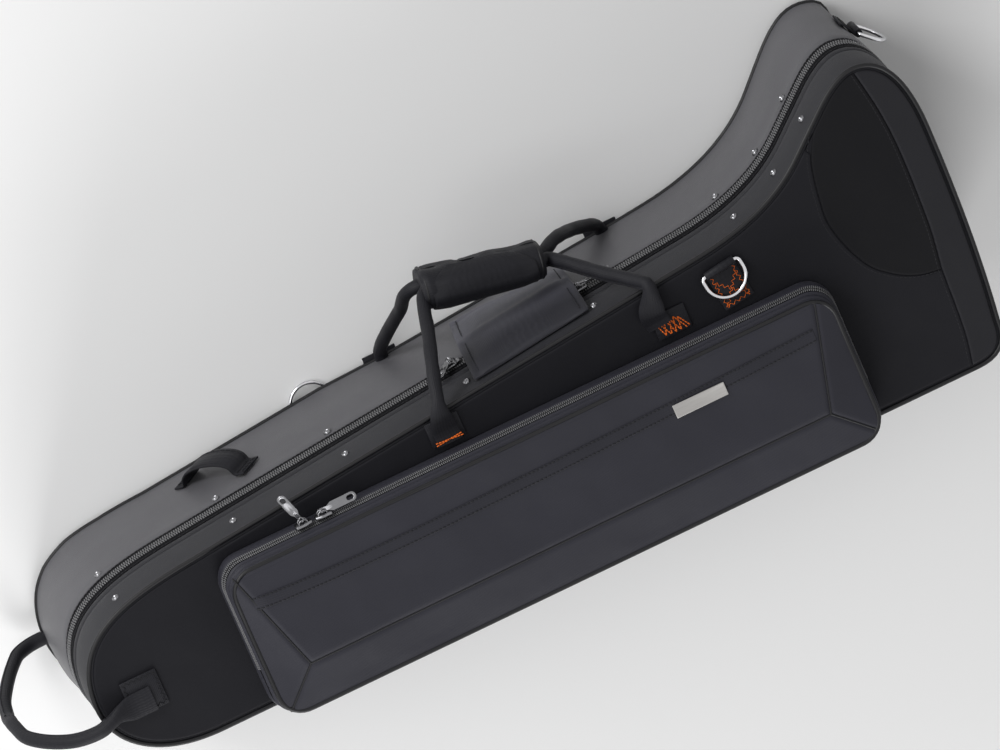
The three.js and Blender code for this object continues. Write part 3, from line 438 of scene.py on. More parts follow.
class Nodes:
    """Makes the nodes of one material."""

    def __init__(self, name):
        self.material = bpy.data.materials.new(name)
        self.material.use_nodes = True
        self.tree = self.material.node_tree
        self.shader = next(node for node in self.tree.nodes if node.type == "BSDF_PRINCIPLED")

    def add(self, kind, settings=(), **inputs):
        """A node of this kind, with its settings and its inputs' values or links."""
        node = self.tree.nodes.new(kind)
        for key, value in dict(settings).items():
            setattr(node, key, value)
        for key, value in inputs.items():
            self.set(node, key.replace("_", " "), value)
        return node

    def set(self, node, key, value):
        """Sets an input by its name or number, or links a socket to it."""
        place = int(key) if key.isdigit() else key
        if isinstance(value, bpy.types.NodeSocket):
            self.tree.links.new(value, node.inputs[place])
        else:
            node.inputs[place].default_value = value

    def maths(self, operation, first, second=0.0):
        """The result of one sum."""
        node = self.tree.nodes.new("ShaderNodeMath")
        node.operation = operation
        for i, value in enumerate((first, second)):
            self.set(node, str(i), value)
        return node.outputs[0]

    def noise(self, vector, scale, detail, output="Fac", **inputs):
        """Noise at these places."""
        node = self.add("ShaderNodeTexNoise", Vector=vector, Scale=scale, Detail=detail, **inputs)
        return node.outputs[output]

    def range(self, value, low, high, **inputs):
        """A value from 0 to 1 spread between two others."""
        return self.add("ShaderNodeMapRange", Value=value, To_Min=low, To_Max=high, **inputs).outputs[0]

    def mix(self, share, first, second):
        """A colour between two others."""
        node = self.add("ShaderNodeMix", {"data_type": "RGBA"}, Factor=share, A=first, B=second)
        return node.outputs["Result"]

    def shades(self, value, colour, low, high):
        """A colour that varies in lightness between two shares of itself."""
        return self.mix(value, *[(*[part * share for part in colour], 1) for share in (low, high)])

    def surface(self, **inputs):
        """Sets the shader's own inputs, and gives the material."""
        for key, value in inputs.items():
            self.set(self.shader, key.replace("_", " "), value)
        return self.material

    def bump(self, height, strength, distance, **inputs):
        """A normal that follows a height."""
        bump = self.add("ShaderNodeBump", Height=height, Strength=strength, Distance=distance, **inputs)
        return bump.outputs["Normal"]


def bands(nodes, vector, pitch, direction):
    """Ridges across one direction of the cloth, at this pitch."""
    scale = math.pi / 10 / pitch
    wave = nodes.add("ShaderNodeTexWave", {"bands_direction": direction}, Scale=scale, Vector=vector)
    return wave.outputs["Fac"]


def cloth_finish(name, colour, thread, roughness, sheen, relief, ribbed=False, gloss=0.14, painted_root_light=None):
    """Woven cloth on UVs in metres: threads, uneven dye, wear and sheen, and painted light that makes its
    start lighter where that is asked for.
    """
    blotch = 0.16
    nodes = Nodes(name)
    coordinates = nodes.add("ShaderNodeTexCoord").outputs
    places, flat = coordinates["Object"], coordinates["UV"]
    drift = nodes.noise(places, 70.0, 3.0, "Color")
    uneven = nodes.add("ShaderNodeVectorMath", {"operation": "MULTIPLY_ADD"})
    for i, value in enumerate((drift, (1.6 * thread, 1.6 * thread, 0), flat)):
        nodes.set(uneven, str(i), value)
    warp = bands(nodes, uneven.outputs["Vector"], thread, "X")
    weft = bands(nodes, uneven.outputs["Vector"], thread * (3 if ribbed else 1), "Y")
    weave = nodes.maths("MULTIPLY", warp, nodes.range(weft, 0.45, 1.0))
    cloudy = nodes.noise(places, 9.0, 4.0, Roughness=0.6)
    fine = nodes.noise(places, 420.0, 2.0)
    tone = nodes.maths("ADD", nodes.maths("MULTIPLY", cloudy, 0.7), nodes.maths("MULTIPLY", weave, 0.3))
    worn = nodes.add("ShaderNodeNewGeometry").outputs["Pointiness"]
    tone = nodes.maths("ADD", tone, nodes.range(worn, 0.0, 0.35, From_Min=0.5, From_Max=0.62))
    dye_and_painted_light = nodes.shades(tone, colour, 1 - blotch * 1.5, 1 + blotch * 1.5)
    # Painted light: the cloth's start (the flap's root, which lies against the side and catches the lamps) is
    # painted lighter.
    if painted_root_light:
        split = nodes.add("ShaderNodeSeparateXYZ", Vector=flat)
        smooth = {"interpolation_type": "SMOOTHSTEP"}
        share = nodes.add("ShaderNodeMapRange", smooth, Value=split.outputs["Y"],
                          From_Min=0.080, From_Max=0.150, To_Min=1.0, To_Max=0.0).outputs[0]
        dye_and_painted_light = nodes.mix(share, dye_and_painted_light, nodes.shades(tone, colour, painted_root_light - blotch, painted_root_light + blotch))
    rough = nodes.range(cloudy, roughness - 0.08, roughness + 0.08)
    rough = nodes.maths("ADD", rough, nodes.range(fine, -0.03, 0.03))
    height = nodes.maths("ADD", weave, nodes.maths("MULTIPLY", fine, 0.35))
    slack = nodes.bump(nodes.noise(places, 11.0, 2.0), 0.5, 0.006)
    return nodes.surface(Base_Color=dye_and_painted_light, Roughness=rough, Sheen_Weight=sheen, Sheen_Roughness=0.45,
                         Specular_IOR_Level=gloss, Normal=nodes.bump(height, 0.55, relief, Normal=slack))


def pile_finish(name, colour):
    """Short soft pile over foam."""
    nodes = Nodes(name)
    places = nodes.add("ShaderNodeTexCoord").outputs["Object"]
    brushed = nodes.noise(places, 14.0, 5.0)
    return nodes.surface(
        Base_Color=nodes.shades(brushed, colour, 0.7, 1.35), Roughness=nodes.range(brushed, 0.85, 1.0),
        Sheen_Weight=0.12, Sheen_Roughness=0.6, Specular_IOR_Level=0.1,
        Normal=nodes.bump(nodes.noise(places, 900.0, 2.0), 0.6, 0.0006))


def metal_finish(name, colour, roughness, brushed=0.0):
    """Plated metal with fine marks, or brushed one way."""
    nodes = Nodes(name)
    stretch = nodes.add("ShaderNodeMapping", Vector=nodes.add("ShaderNodeTexCoord").outputs["Object"],
                        Scale=(1, 40, 40) if brushed else (1, 1, 1))
    marks = nodes.noise(stretch.outputs["Vector"], 60.0 if brushed else 220.0, 4.0)
    return nodes.surface(
        Base_Color=nodes.shades(marks, colour, 0.85, 1.1), Metallic=1.0,
        Roughness=nodes.range(marks, roughness * 0.6, roughness * 1.5),
        Normal=nodes.bump(marks, 0.2 + brushed, 0.00005))


def plastic_finish(name, colour, roughness):
    """Moulded or extruded plastic with a light grain."""
    nodes = Nodes(name)
    places = nodes.add("ShaderNodeTexCoord").outputs["Object"]
    scuffs = nodes.noise(places, 22.0, 4.0)
    return nodes.surface(
        Base_Color=nodes.shades(scuffs, colour, 0.75, 1.3), Specular_IOR_Level=0.3,
        Roughness=nodes.range(scuffs, roughness - 0.08, roughness + 0.12),
        Normal=nodes.bump(nodes.noise(places, 700.0, 3.0), 0.35, 0.00012))


def finishes():
    """All the case's finishes by the name of their slot, made once from the colours."""
    if not FINISHES:
        colours = bpy.context.scene.case_colours
        cloths = {
            "front_fabric": (colours.front, 0.0011, 0.6, 0.008, 0.00022),
            "band_fabric": (colours.band, 0.0011, 0.55, 0.012, 0.00022),
            "strip_fabric": (colours.end_strip, 0.0011, 0.55, 0.012, 0.00022),
            # Painted shade: the bell panel is the front's cloth, darkened for the shade at the bell end.
            "shaded_bell_fabric": (colours.bell_panel, 0.0011, 0.66, 0.006, 0.00022),
            "pocket_fabric": (colours.pocket, 0.0011, 0.5, 0.014, 0.0002, False, 0.2),
            # The flap's last value paints light on its root, which lies against the side and catches the
            # lamps.
            "flap_fabric": (colours.flap, 0.0012, 0.5, 0.02, 0.0002, False, 0.22, 3.3),
            "ribbon": (colours.ribbon, 0.0009, 0.55, 0.01, 0.00015, True),
            "spine_fabric": (colours.side, 0.0013, 0.46, 0.03, 0.0002, False, 0.3),
            "webbing": (colours.webbing, 0.0016, 0.55, 0.015, 0.0003, True, 0.18),
            "tape": (colours.tape, 0.0008, 0.7, 0.004, 0.00012, False, 0.08),
            "thread": (colours.thread, 0.0006, 0.6, 0.02, 0.0001),
            "dark_thread": (colours.dark_thread, 0.0006, 0.6, 0.01, 0.0001),
        }
        FINISHES.update({name: cloth_finish(name, *values) for name, values in cloths.items()})
        FINISHES.update({
            "piping": plastic_finish("piping", colours.piping, 0.42),
            "coil": plastic_finish("coil", colours.coil, 0.34),
            "plush": pile_finish("plush", colours.plush),
            "chrome": metal_finish("chrome", (0.62, 0.62, 0.64), 0.16),
            "dark_metal": metal_finish("dark_metal", (0.22, 0.22, 0.23), 0.24),
            "plate": metal_finish("plate", colours.plate, 0.36, 0.4),
        })
    return FINISHES


def size_property(name, description, default, least):
    """A size that a maker would change."""
    return bpy.props.FloatProperty(
        name=name, description=description, default=default, min=least, unit="LENGTH", subtype="DISTANCE")


class CaseSizes(bpy.types.PropertyGroup):
    """Sizes that a maker would change."""

    piping_radius: size_property("Piping radius", "Radius of the cord in the piping", 0.0023, 0.0005)
    cover_bulge: size_property("Side bulge", "How far the sides stand out between their seams", 0.0022, 0.0)
    panel_thickness: size_property("Panel thickness", "Rise of a front panel over its seams", 0.0022, 0.0002)
    main_pitch: size_property("Main zip pitch", "Distance between the main zip's turns", 0.0024, 0.001)
    pocket_pitch: size_property("Pocket zip pitch", "Distance between the pocket zip's turns", 0.0019, 0.001)
    handle_radius: size_property("Handle radius", "Radius of the rolled handles", 0.0065, 0.002)
    webbing_thickness: size_property("Webbing thickness", "Thickness of the flat webbing", 0.0021, 0.0005)
    stitch_radius: size_property("Stitch radius", "Radius of the sewing thread", 0.00045, 0.0001)


def colour_property(name, description, default):
    """A colour that a maker would change."""
    return bpy.props.FloatVectorProperty(
        name=name, description=description, default=default, subtype="COLOR", size=3, min=0.0, max=1.0)


class CaseColours(bpy.types.PropertyGroup):
    """Colours that a maker would change."""

    front: colour_property("Front fabric", "Cloth of the front and the pocket", (0.0058, 0.0058, 0.008))
    band: colour_property("Lid band fabric", "Cloth of the lid's sides and end strip", (0.02, 0.02, 0.0235))
    # The bell panel's darker colour is painted shade of the bell end; its cloth is the same as the front's.
    bell_panel: colour_property("Bell panel", "Darker cloth over the bell", (0.0022, 0.0022, 0.0032))
    end_strip: colour_property("End strip", "Cloth along the bell end of the front", (0.0125, 0.0125, 0.015))
    pocket: colour_property("Pocket fabric", "Cloth of the front pocket", (0.0185, 0.0185, 0.0255))
    flap: colour_property("Flap fabric", "Cloth of the padded zip flap", (0.0185, 0.0185, 0.0238))
    ribbon: colour_property("Ribbon", "Flat ribbon across the pocket", (0.021, 0.021, 0.027))
    side: colour_property("Side fabric", "Coated cloth of the sides", (0.078, 0.077, 0.084))
    piping: colour_property("Piping", "Cord along the edges", (0.003, 0.003, 0.004))
    plush: colour_property("Plush", "Pile inside the case", (0.016, 0.016, 0.019))
    webbing: colour_property("Webbing", "Handles, tabs and straps", (0.0085, 0.0085, 0.0112))
    coil: colour_property("Zip coil", "Turns of the zips", (0.125, 0.125, 0.13))
    tape: colour_property("Zip tape", "Woven tape of the zips", (0.002, 0.002, 0.003))
    plate: colour_property("Plate", "Blank plate on the pocket", (0.36, 0.35, 0.34))
    thread: colour_property("Bright thread", "Stitching on the handle patches", (0.7, 0.14, 0.02))
    dark_thread: colour_property("Dark thread", "Stitching along the seams", (0.012, 0.012, 0.014))
    floor: colour_property("Floor", "Floor under the case", (0.86, 0.86, 0.86))


# Loops of points seen from the front, and walls that follow them


def loop_rim(loop, i):
    """A point of a closed loop, with its outward direction."""
    count = len(loop)
    onward = (loop[(i + 1) % count] - loop[(i - 1) % count]).normalized()
    return loop[i % count], Vector((onward.y, -onward.x, 0))


def bulged(low, high, bulge, steps=8, offset=0.0):
    """A wall's profile between two heights, standing out in the middle."""
    return [(offset + bulge * math.sin(math.pi * i / steps), low + (high - low) * i / steps)
            for i in range(steps + 1)]


def wall_mesh(loop, profile, shifted=False, slack=0.0):
    """A wall round a loop, whose profile is a list of distances out and heights."""
    count = len(loop)
    deep = sum(math.dist(a, b) for a, b in zip(profile, profile[1:]))
    long = sum((loop[(i + 1) % count] - loop[i]).length for i in range(count))
    heights = [height for _, height in profile]
    low, high = min(heights), max(heights)

    def place(u, v):
        offset, height = profile[round(u * (len(profile) - 1))]
        point, outward = loop_rim(loop, round(v * count))
        if shifted:
            offset += back_shift(point, height)
        if slack:
            still = min(1, (height - low) / 0.012, (high - height) / 0.012)
            offset += slack * max(0, still) * noise.noise(Vector((point.x * 9, point.y * 9, height * 16)))
        return moved_to(point + outward * offset, height)

    return grid_mesh(len(profile) - 1, count, place, (deep, long), False, True)


def drawn_in(point, depth):
    """A point of the outline moved towards the case's middle line."""
    start, end = at(0.10, 0.165, 0), at(0.865, 0.080, 0)
    line = end - start
    share = held((point - start).dot(line) / line.length_squared)
    return point + (start + line * share - point).normalized() * depth


def outward(bm, centre=None):
    """Turns the faces of an open sheet away from a centre, or of a closed one outwards."""
    if centre is None:
        bmesh.ops.recalc_face_normals(bm, faces=bm.faces)
        return bm
    bm.normal_update()
    facing = sum(face.normal.dot(face.calc_center_median() - centre) * face.calc_area() for face in bm.faces)
    if facing < 0:
        bmesh.ops.reverse_faces(bm, faces=bm.faces)
    return bm


MIDDLE = at(0.45, 0.11, 0.12)
ZIP_FROM = next(i for i, point in enumerate(OUTLINE) if HINGE_Y - point.y >= 0.016 and point.x < MIDDLE.x)
ZIP_TO = max(i for i, point in enumerate(OUTLINE) if HINGE_Y - point.y >= 0.016)
TAPE_EDGE = 0.0165

# The pocket's outline, and the seams between the panels of the front
POCKET_ALONG = (0.149, 0.779)
POCKET_RISE = (-0.007, 0.153)
POCKET_CORNER = 0.024
POCKET_MIDDLE = at(0.464, 0.073, 0.262)
POCKET_ZIP = 0.265
POCKET_EDGE = 0.2775
CREASES = ((0.196, 0.036), (0.169, 0.143), (0.734, 0.036), (0.768, 0.143))
SEAMS_MEET = (0.0415, 0.103)
CURVED_SEAM = (
    (0.108, 0.281), (0.113, 0.257), (0.118, 0.238), (0.121, 0.218), (0.123, 0.195), (0.119, 0.174),
    (0.112, 0.154), (0.103, 0.137), (0.093, 0.126), (0.077, 0.114), (0.059, 0.106), SEAMS_MEET,
)
UPPER_SEAM = ((0.043, 0.3145), (0.037, 0.271), (0.034, 0.229), (0.036, 0.148))
LOWER_SEAM = ((0.045, 0.037), (0.050, 0.004))


def pocket_loop(alongs, rises):
    """A rounded oblong seen from the front, anticlockwise, with the same count of points for any size."""
    low, high = at(alongs[0], rises[1], 0), at(alongs[1], rises[0], 0)
    ring = []
    for x, y, turn in ((high.x, high.y, 0), (low.x, high.y, 1), (low.x, low.y, 2), (high.x, low.y, 3)):
        centre = Vector((x + (POCKET_CORNER if x < MIDDLE.x else -POCKET_CORNER),
                         y + (POCKET_CORNER if y == low.y else -POCKET_CORNER), 0))
        arc = [centre + Vector((math.cos(angle), math.sin(angle), 0)) * POCKET_CORNER
               for angle in [(turn + i / 8) * math.pi / 2 for i in range(9)]]
        if ring:
            steps = 110 if turn % 2 else 24
            ring += [ring[-1].lerp(arc[0], i / steps) for i in range(1, steps)]
        ring += arc
    return ring + [ring[-1].lerp(ring[0], i / 24) for i in range(1, 24)]


FACE_ALONG = (0.154, 0.774)
FACE_RISE = (-0.007, 0.1445)
FACE_LIFT = 0.0052


def pocket_wall(share, out, height):
    """The pocket's wall at a share of the way from its outer edge in to its front's edge."""
    outer, inner = pocket_loop(POCKET_ALONG, POCKET_RISE), pocket_loop(FACE_ALONG, FACE_RISE)
    points = []
    for i, (first, last) in enumerate(zip(outer, inner)):
        point = first.lerp(last, share) + loop_rim(outer, i)[1] * out
        points.append(moved_to(point, height(HINGE_Y - last.y) if callable(height) else height))
    return points


def face_tilt(rise):
    """How much the front's edge stands up towards the side with the handles."""
    return FACE_LIFT * eased((rise - 0.085) / (FACE_RISE[1] - 0.085))


def rings_mesh(rings):
    """A wall through rings that have the same count of points."""
    count = len(rings[0])
    deep = sum((a[0] - b[0]).length for a, b in zip(rings, rings[1:]))
    long = sum((rings[0][i] - rings[0][i - 1]).length for i in range(count))
    place = lambda u, v: rings[round(u * (len(rings) - 1))][round(v * count) % count]
    return grid_mesh(len(rings) - 1, count, place, (deep, long), False, True)


def pocket_height(along, rise):
    """How far the pocket's front stands over its edge, with soft creases and a slack middle."""
    tilt = face_tilt(rise)
    deep = 0.0085 - tilt
    (bell_low, bell_top, tail_low, tail_top) = CREASES
    share = (rise - bell_low[1]) / (bell_top[1] - bell_low[1])
    bell = bell_low[0] + (bell_top[0] - bell_low[0]) * share
    tail = tail_low[0] + (tail_top[0] - tail_low[0]) * share
    slopes = [1.0, (rise - POCKET_RISE[0]) / (bell_low[1] - POCKET_RISE[0]), (FACE_RISE[1] - rise) / 0.0045,
              (along - FACE_ALONG[0]) / max(bell - FACE_ALONG[0], 0.004),
              (FACE_ALONG[1] - along) / max(FACE_ALONG[1] - tail, 0.004)]
    sharp = 22.0
    low = max(0.0, -math.log(sum(math.exp(-sharp * slope) for slope in slopes)) / sharp)
    slack = 0.0011 * noise.noise(Vector((along * 7, rise * 12, 3.1)))
    slack += 0.0005 * noise.noise(Vector((along * 22, rise * 30, 8.2)))
    sag = 0.0018 * math.sin(math.pi * held((along - 0.16) / 0.61)) * math.sin(math.pi * held(rise / 0.15))
    groove = 0.0
    for (a, b) in pocket_seams():
        line = b - a
        spot = Vector((along, rise)) - a
        near = (spot - line * held(spot.dot(line) / line.length_squared)).length
        groove = max(groove, math.exp(-(near / 0.0021) ** 2))
    return tilt + deep * low + (slack - sag) * min(1, 3 * low) - 0.0013 * groove


def pocket_seams():
    """The sewn lines at both ends of the pocket's front, as pairs of along and rise."""
    (bell_low, bell_top, tail_low, tail_top) = [Vector(corner) for corner in CREASES]
    return ((tail_top + Vector((0.0005, 0.0005)), tail_low), (tail_low, Vector((0.7685, -0.001))),
            (tail_low, bell_low), (bell_top + Vector((-0.0005, 0.0005)), bell_low),
            (bell_low, Vector((0.160, -0.001))))


def on_pocket(along, rise, lift):
    """A point over the pocket's front."""
    return at(along, rise, POCKET_EDGE + pocket_height(along, rise) + lift)


# The camera of the photograph, and the studio's lamps with their places, sizes and watts
CAMERA_LENS = 702.04
CAMERA_PLACE = (2.10747, 5.99961, 17.31715)
CAMERA_SIDE = Vector((-0.898457, 0.381982, 0.216482))
CAMERA_LIFT = Vector((-0.429537, -0.866841, -0.253149))
LAMPS = (
    ("key_lamp", (2.0, -2.7, 1.4), 1.4, 78),
    ("fill_lamp", (1.2, 2.8, 1.5), 1.8, 86),
    ("top_lamp", (2.1, -0.6, 2.9), 2.2, 34),
)
WORLD_LIGHT = 0.36


class CASE_OT_stage(bpy.types.Operator):
    """Camera, lamps, floor and backdrop"""
    bl_idname = "case.stage"
    bl_label = "Stage"

    def execute(self, context):
        scene = context.scene
        data = bpy.data.cameras.new("camera")
        data.lens = CAMERA_LENS
        data.sensor_width = 36
        data.clip_start = 0.5
        data.clip_end = 100
        camera = bpy.data.objects.new("camera", data)
        scene.collection.objects.link(camera)
        turn = axes(CAMERA_SIDE, CAMERA_LIFT, CAMERA_SIDE.cross(CAMERA_LIFT))
        camera.matrix_world = Matrix.Translation(at(*CAMERA_PLACE)) @ turn
        scene.camera = camera
        scene.view_settings.view_transform = "Standard"

        for name, place, size, power in LAMPS:
            lamp = bpy.data.lights.new(name, "AREA")
            lamp.size = size
            lamp.energy = power
            made = bpy.data.objects.new(name, lamp)
            scene.collection.objects.link(made)
            facing = (-Vector(place)).to_track_quat("-Z", "Y").to_matrix().to_4x4()
            made.matrix_world = Matrix.Translation(place) @ facing

        floor = bmesh.new()
        bmesh.ops.create_grid(floor, x_segments=1, y_segments=1, size=30)
        mesh = bpy.data.meshes.new("floor")
        floor.to_mesh(mesh)
        floor.free()
        nodes = Nodes("floor")
        texture = nodes.add("ShaderNodeTexCoord")
        cloudy = nodes.add("ShaderNodeTexNoise", Vector=texture.outputs["Object"], Scale=0.7)
        colour = scene.case_colours.floor
        dusty = nodes.shades(cloudy.outputs["Fac"], colour, 0.99, 1.01)
        mesh.materials.append(nodes.surface(Base_Color=dusty, Roughness=0.9))
        ground = bpy.data.objects.new("floor", mesh)
        scene.collection.objects.link(ground)

        world = bpy.data.worlds.new("studio")
        world.use_nodes = True
        tree = world.node_tree
        background = next(node for node in tree.nodes if node.type == "BACKGROUND")
        path = tree.nodes.new("ShaderNodeLightPath")
        seen = tree.nodes.new("ShaderNodeMath")
        seen.operation = "MAXIMUM"
        tree.links.new(path.outputs["Is Camera Ray"], seen.inputs[0])
        tree.links.new(path.outputs["Is Glossy Ray"], seen.inputs[1])
        spread = tree.nodes.new("ShaderNodeMapRange")
        tree.links.new(seen.outputs[0], spread.inputs["Value"])
        spread.inputs["To Min"].default_value = WORLD_LIGHT
        spread.inputs["To Max"].default_value = 1.0
        tree.links.new(spread.outputs[0], background.inputs["Strength"])
        background.inputs["Color"].default_value = (1, 1, 1, 1)
        scene.world = world
        return {"FINISHED"}


class CASE_OT_covers(bpy.types.Operator):
    """Fabric covers of the base and the lid, with the panels of the front and the back"""
    bl_idname = "case.covers"
    bl_label = "Covers"

    def execute(self, context):
        sizes = context.scene.case_sizes
        self.base(sizes.cover_bulge)
        self.lid(sizes.cover_bulge)
        self.front(sizes.panel_thickness, sizes.stitch_radius)
        return {"FINISHED"}

    def base(self, bulge):
        """The deep half's side and its back panel."""
        low = PARTING - TAPE_EDGE
        profile = [(-0.0045, 0.0086), (-0.002, 0.0092)] + bulged(0.0105, low - 0.001, bulge, 12)
        profile += [(-0.0008, low), (-0.003, low + 0.0006)]
        side = outward(wall_mesh(OUTLINE, profile, shifted=True, slack=0.0016), MIDDLE)
        piece("base_cover", side, "spine_fabric", "base", ["base_shell"])
        rings = [[moved_to(drawn_in(point, depth) + loop_rim(OUTLINE, i)[1] * back_shift(point, BACK), height)
                  for i, point in enumerate(OUTLINE)]
                 for depth, height in ((0.003, 0.0088), (0.004, 0.0065), (0.007, 0.0052), (0.020, 0.0040),
                                       (0.034, 0.0015), (0.042, 0.0))]
        count = len(OUTLINE)
        place = lambda u, v: rings[round(u * (len(rings) - 1))][round(v * count) % count]
        back = grid_mesh(len(rings) - 1, count, place, (0.045, PERIMETER), False, True)
        inner = [edge for edge in back.edges
                 if edge.is_boundary and all(vert.co.z < 0.0001 for vert in edge.verts)]
        bmesh.ops.holes_fill(back, edges=inner, sides=0)
        outward(back, MIDDLE)
        box_uvs(back)
        piece("back_panel", back, "spine_fabric", "base", ["base_shell"])

    def lid(self, bulge):
        """The shallow half's side, in two bands with a seam between them."""
        high = PARTING + TAPE_EDGE
        seam = high + 0.012
        profile = [(-0.003, high - 0.0006), (-0.0008, high)]
        profile += bulged(high + 0.001, seam - 0.0007, bulge * 0.4, 4) + [(-0.0009, seam)]
        profile += bulged(seam + 0.0007, FRONT - 0.0035, bulge * 0.6, 8) + [(-0.004, FRONT - 0.0015)]
        side = outward(wall_mesh(OUTLINE, profile, slack=0.001), MIDDLE)
        piece("lid_cover", side, "band_fabric", "lid", ["lid_shell"], slot="front_fabric")

    def front(self, thickness, stitch_radius):
        """The front's panels over their underlay, and the stitches beside their seams."""
        count = len(OUTLINE)
        inset = [point - loop_rim(OUTLINE, i)[1] * 0.0042 for i, point in enumerate(OUTLINE)]
        floor = FRONT - thickness - 0.001
        nearest = lambda spot: min(range(count), key=lambda i: (inset[i] - at(*spot, 0)).length)
        top, foot, ramp = nearest(UPPER_SEAM[0]), nearest(LOWER_SEAM[-1]), nearest(CURVED_SEAM[0])
        flat = lambda spots: [at(*spot, 0) for spot in spots]
        curved = smooth_line([inset[ramp]] + flat(CURVED_SEAM[1:]), 0.004)
        meeting = curved[-1]
        upper = smooth_line([inset[top]] + flat(UPPER_SEAM[1:]) + [meeting], 0.004)
        lower = smooth_line([meeting] + flat(LOWER_SEAM[:-1]) + [inset[foot]], 0.004)

        def around(first, last):
            return [inset[i % count] for i in range(first, last + count * (last <= first) + 1)]

        under = [moved_to(point - loop_rim(OUTLINE, i)[1] * 0.0008, floor) for i, point in enumerate(inset)]
        bm = panel_mesh(under, FRONT - 0.0011 - floor, 0.0004)
        piece("front_underlay", bm, "front_fabric", "lid", ["lid_shell"], slot="front_fabric")
        for name, finish, loop in (
                ("end_strip", "strip_fabric", around(foot, top) + upper[1:] + lower[1:-1]),
                # The bell panel takes the painted-shade finish.
                ("bell_panel", "shaded_bell_fabric", around(top, ramp) + curved[1:-1] + upper[:0:-1]),
                ("main_panel", "front_fabric", around(ramp + 3, foot) + lower[-2:0:-1] + curved[:4:-1])):
            bm = panel_mesh([moved_to(point, floor) for point in loop], FRONT + 0.0001 - floor, 0.0019)
            piece(name, bm, finish, "lid", ["lid_shell"], slot="front_fabric")
        for name, line, aside in (("bell_panel_stitches", curved, 0.0042),
                                  ("end_strip_stitches", upper + lower[1:], 0.0035)):
            shifted = [point + Vector((aside, 0, FRONT - point.z)) for point in line]
            stitching(name, stitch_mesh(shifted, stitch_radius), "lid")


def stitch_mesh(line, radius, pitch=0.0042, length=0.0032, lift=UP):
    """A row of stitches along a line, each a short rounded stitch lying on the cloth."""
    spots = even_steps(line, pitch, False)
    bm = bmesh.new()
    bmesh.ops.create_cube(bm, size=1, matrix=Matrix.Diagonal((length, 2 * radius, radius, 1)))
    bevelled(bm, radius * 0.45)
    box_uvs(bm)
    matrices = []
    for before, after in zip(spots, spots[1:]):
        onward = (after - before).normalized()
        side = lift.cross(onward).normalized()
        matrices.append(Matrix.Translation((before + after) / 2) @ axes(onward, side, onward.cross(side)))
    add_copies(bm, matrices)
    return bm


def zigzag_mesh(line, radius, lift, pitch=0.0028, swing=0.0014):
    """Zigzag stitching along a line, a thin thread laid on the webbing."""
    spots = even_steps(line, pitch, False)
    points = []
    for i, spot in enumerate(spots):
        onward = (spots[min(i + 1, len(spots) - 1)] - spots[max(i - 1, 0)]).normalized()
        points.append(spot + lift.cross(onward).normalized() * (swing if i % 2 else -swing))
    return tube_mesh(points, radius, 6)


class CASE_OT_piping(bpy.types.Operator):
    """Corded piping round the front and back edges"""
    bl_idname = "case.piping"
    bl_label = "Edge piping"

    def execute(self, context):
        radius = context.scene.case_sizes.piping_radius
        count = len(OUTLINE)
        for name, height, body, node in (("front_piping", FRONT - radius + 0.0002, "lid", "lid_piping"),
                                         ("back_piping", BACK + radius - 0.0002, "base", "base_piping")):
            points = [wall_point(i / count, -0.0002, height) for i in range(count)]
            bm = tube_mesh(points, radius, 12, True)
            piece(name, outward(bm), "piping", body, [node])
        return {"FINISHED"}


def zip_row(loop_point, first, last, pitch, length, side, thick, slant=0.0):
    """One side of a coil zip: short rounded turns that reach across from the middle of the zip."""
    bm = bmesh.new()
    bmesh.ops.create_cube(bm, size=1, matrix=Matrix.Diagonal((pitch * 0.62, length, thick, 1)))
    bevelled(bm, pitch * 0.2)
    box_uvs(bm)
    count = int((last - first) / pitch)
    matrices = []
    for i in range(count):
        distance = first + (i + (0.25 if side > 0 else 0.75)) * pitch
        point, onward, rise_way, out = loop_point(distance)
        turned = Matrix.Rotation(slant * side, 4, "Z")
        shift = Matrix.Translation((0, side * (length / 2 + 0.0003), thick / 2))
        matrices.append(Matrix.Translation(point) @ axes(onward, rise_way, out) @ shift @ turned)
    add_copies(bm, matrices)
    return bm


class CASE_OT_main_zip(bpy.types.Operator):
    """Tapes and teeth of the main zip"""
    bl_idname = "case.main_zip"
    bl_label = "Main zip"

    def execute(self, context):
        pitch = context.scene.case_sizes.main_pitch
        for body, side, length in (("base", -1, 0.0068), ("lid", 1, 0.0064)):
            name, node = "zip_" + body, f"zip_{body}_chain"
            profile = [(-0.0042, 0.012), (-0.0042, 0.00115), (-0.0034, 0.00015), (-0.0006, 0.00015),
                       (0.0001, 0.00095), (0.0001, 0.00815), (-0.0003, 0.01265),
                       (-0.0011, TAPE_EDGE + 0.0004)]
            profile = [(out, PARTING + side * away) for out, away in profile]
            bm = outward(wall_mesh(OUTLINE, profile, body == "base"), MIDDLE)
            piece(name + "_tape", bm, "tape", body, [node], slot="webbing")
            start, end = ZIP_FROM * OUTLINE_STEP, ZIP_TO * OUTLINE_STEP
            teeth = zip_row(self.zip_point, start, end, pitch, length, side, 0.0013, 0.05)
            piece(name + "_teeth", teeth, "coil", body, [node])
            line = [wall_point(i / len(OUTLINE), 0.0002, PARTING + side * 0.0138)
                    for i in range(ZIP_FROM, ZIP_TO)]
            spots = even_steps(line, 0.0045, False)
            stitches = bmesh.new()
            bmesh.ops.create_cube(stitches, size=1, matrix=Matrix.Diagonal((0.0034, 0.0008, 0.0007, 1)))
            bevelled(stitches, 0.0002)
            box_uvs(stitches)
            matrices = []
            for before, after in zip(spots, spots[1:]):
                onward = (after - before).normalized()
                out = Vector((onward.y, -onward.x, 0)).normalized()
                matrices.append(Matrix.Translation((before + after) / 2) @ axes(onward, UP, out))
            add_copies(stitches, matrices)
            stitching(name + "_stitches", stitches, body)
        return {"FINISHED"}

    def zip_point(self, distance):
        """A point in the middle of the zip, with its onward and outward directions."""
        point, out, onward = rim(distance / PERIMETER)
        return point + UP * PARTING, onward, UP, out


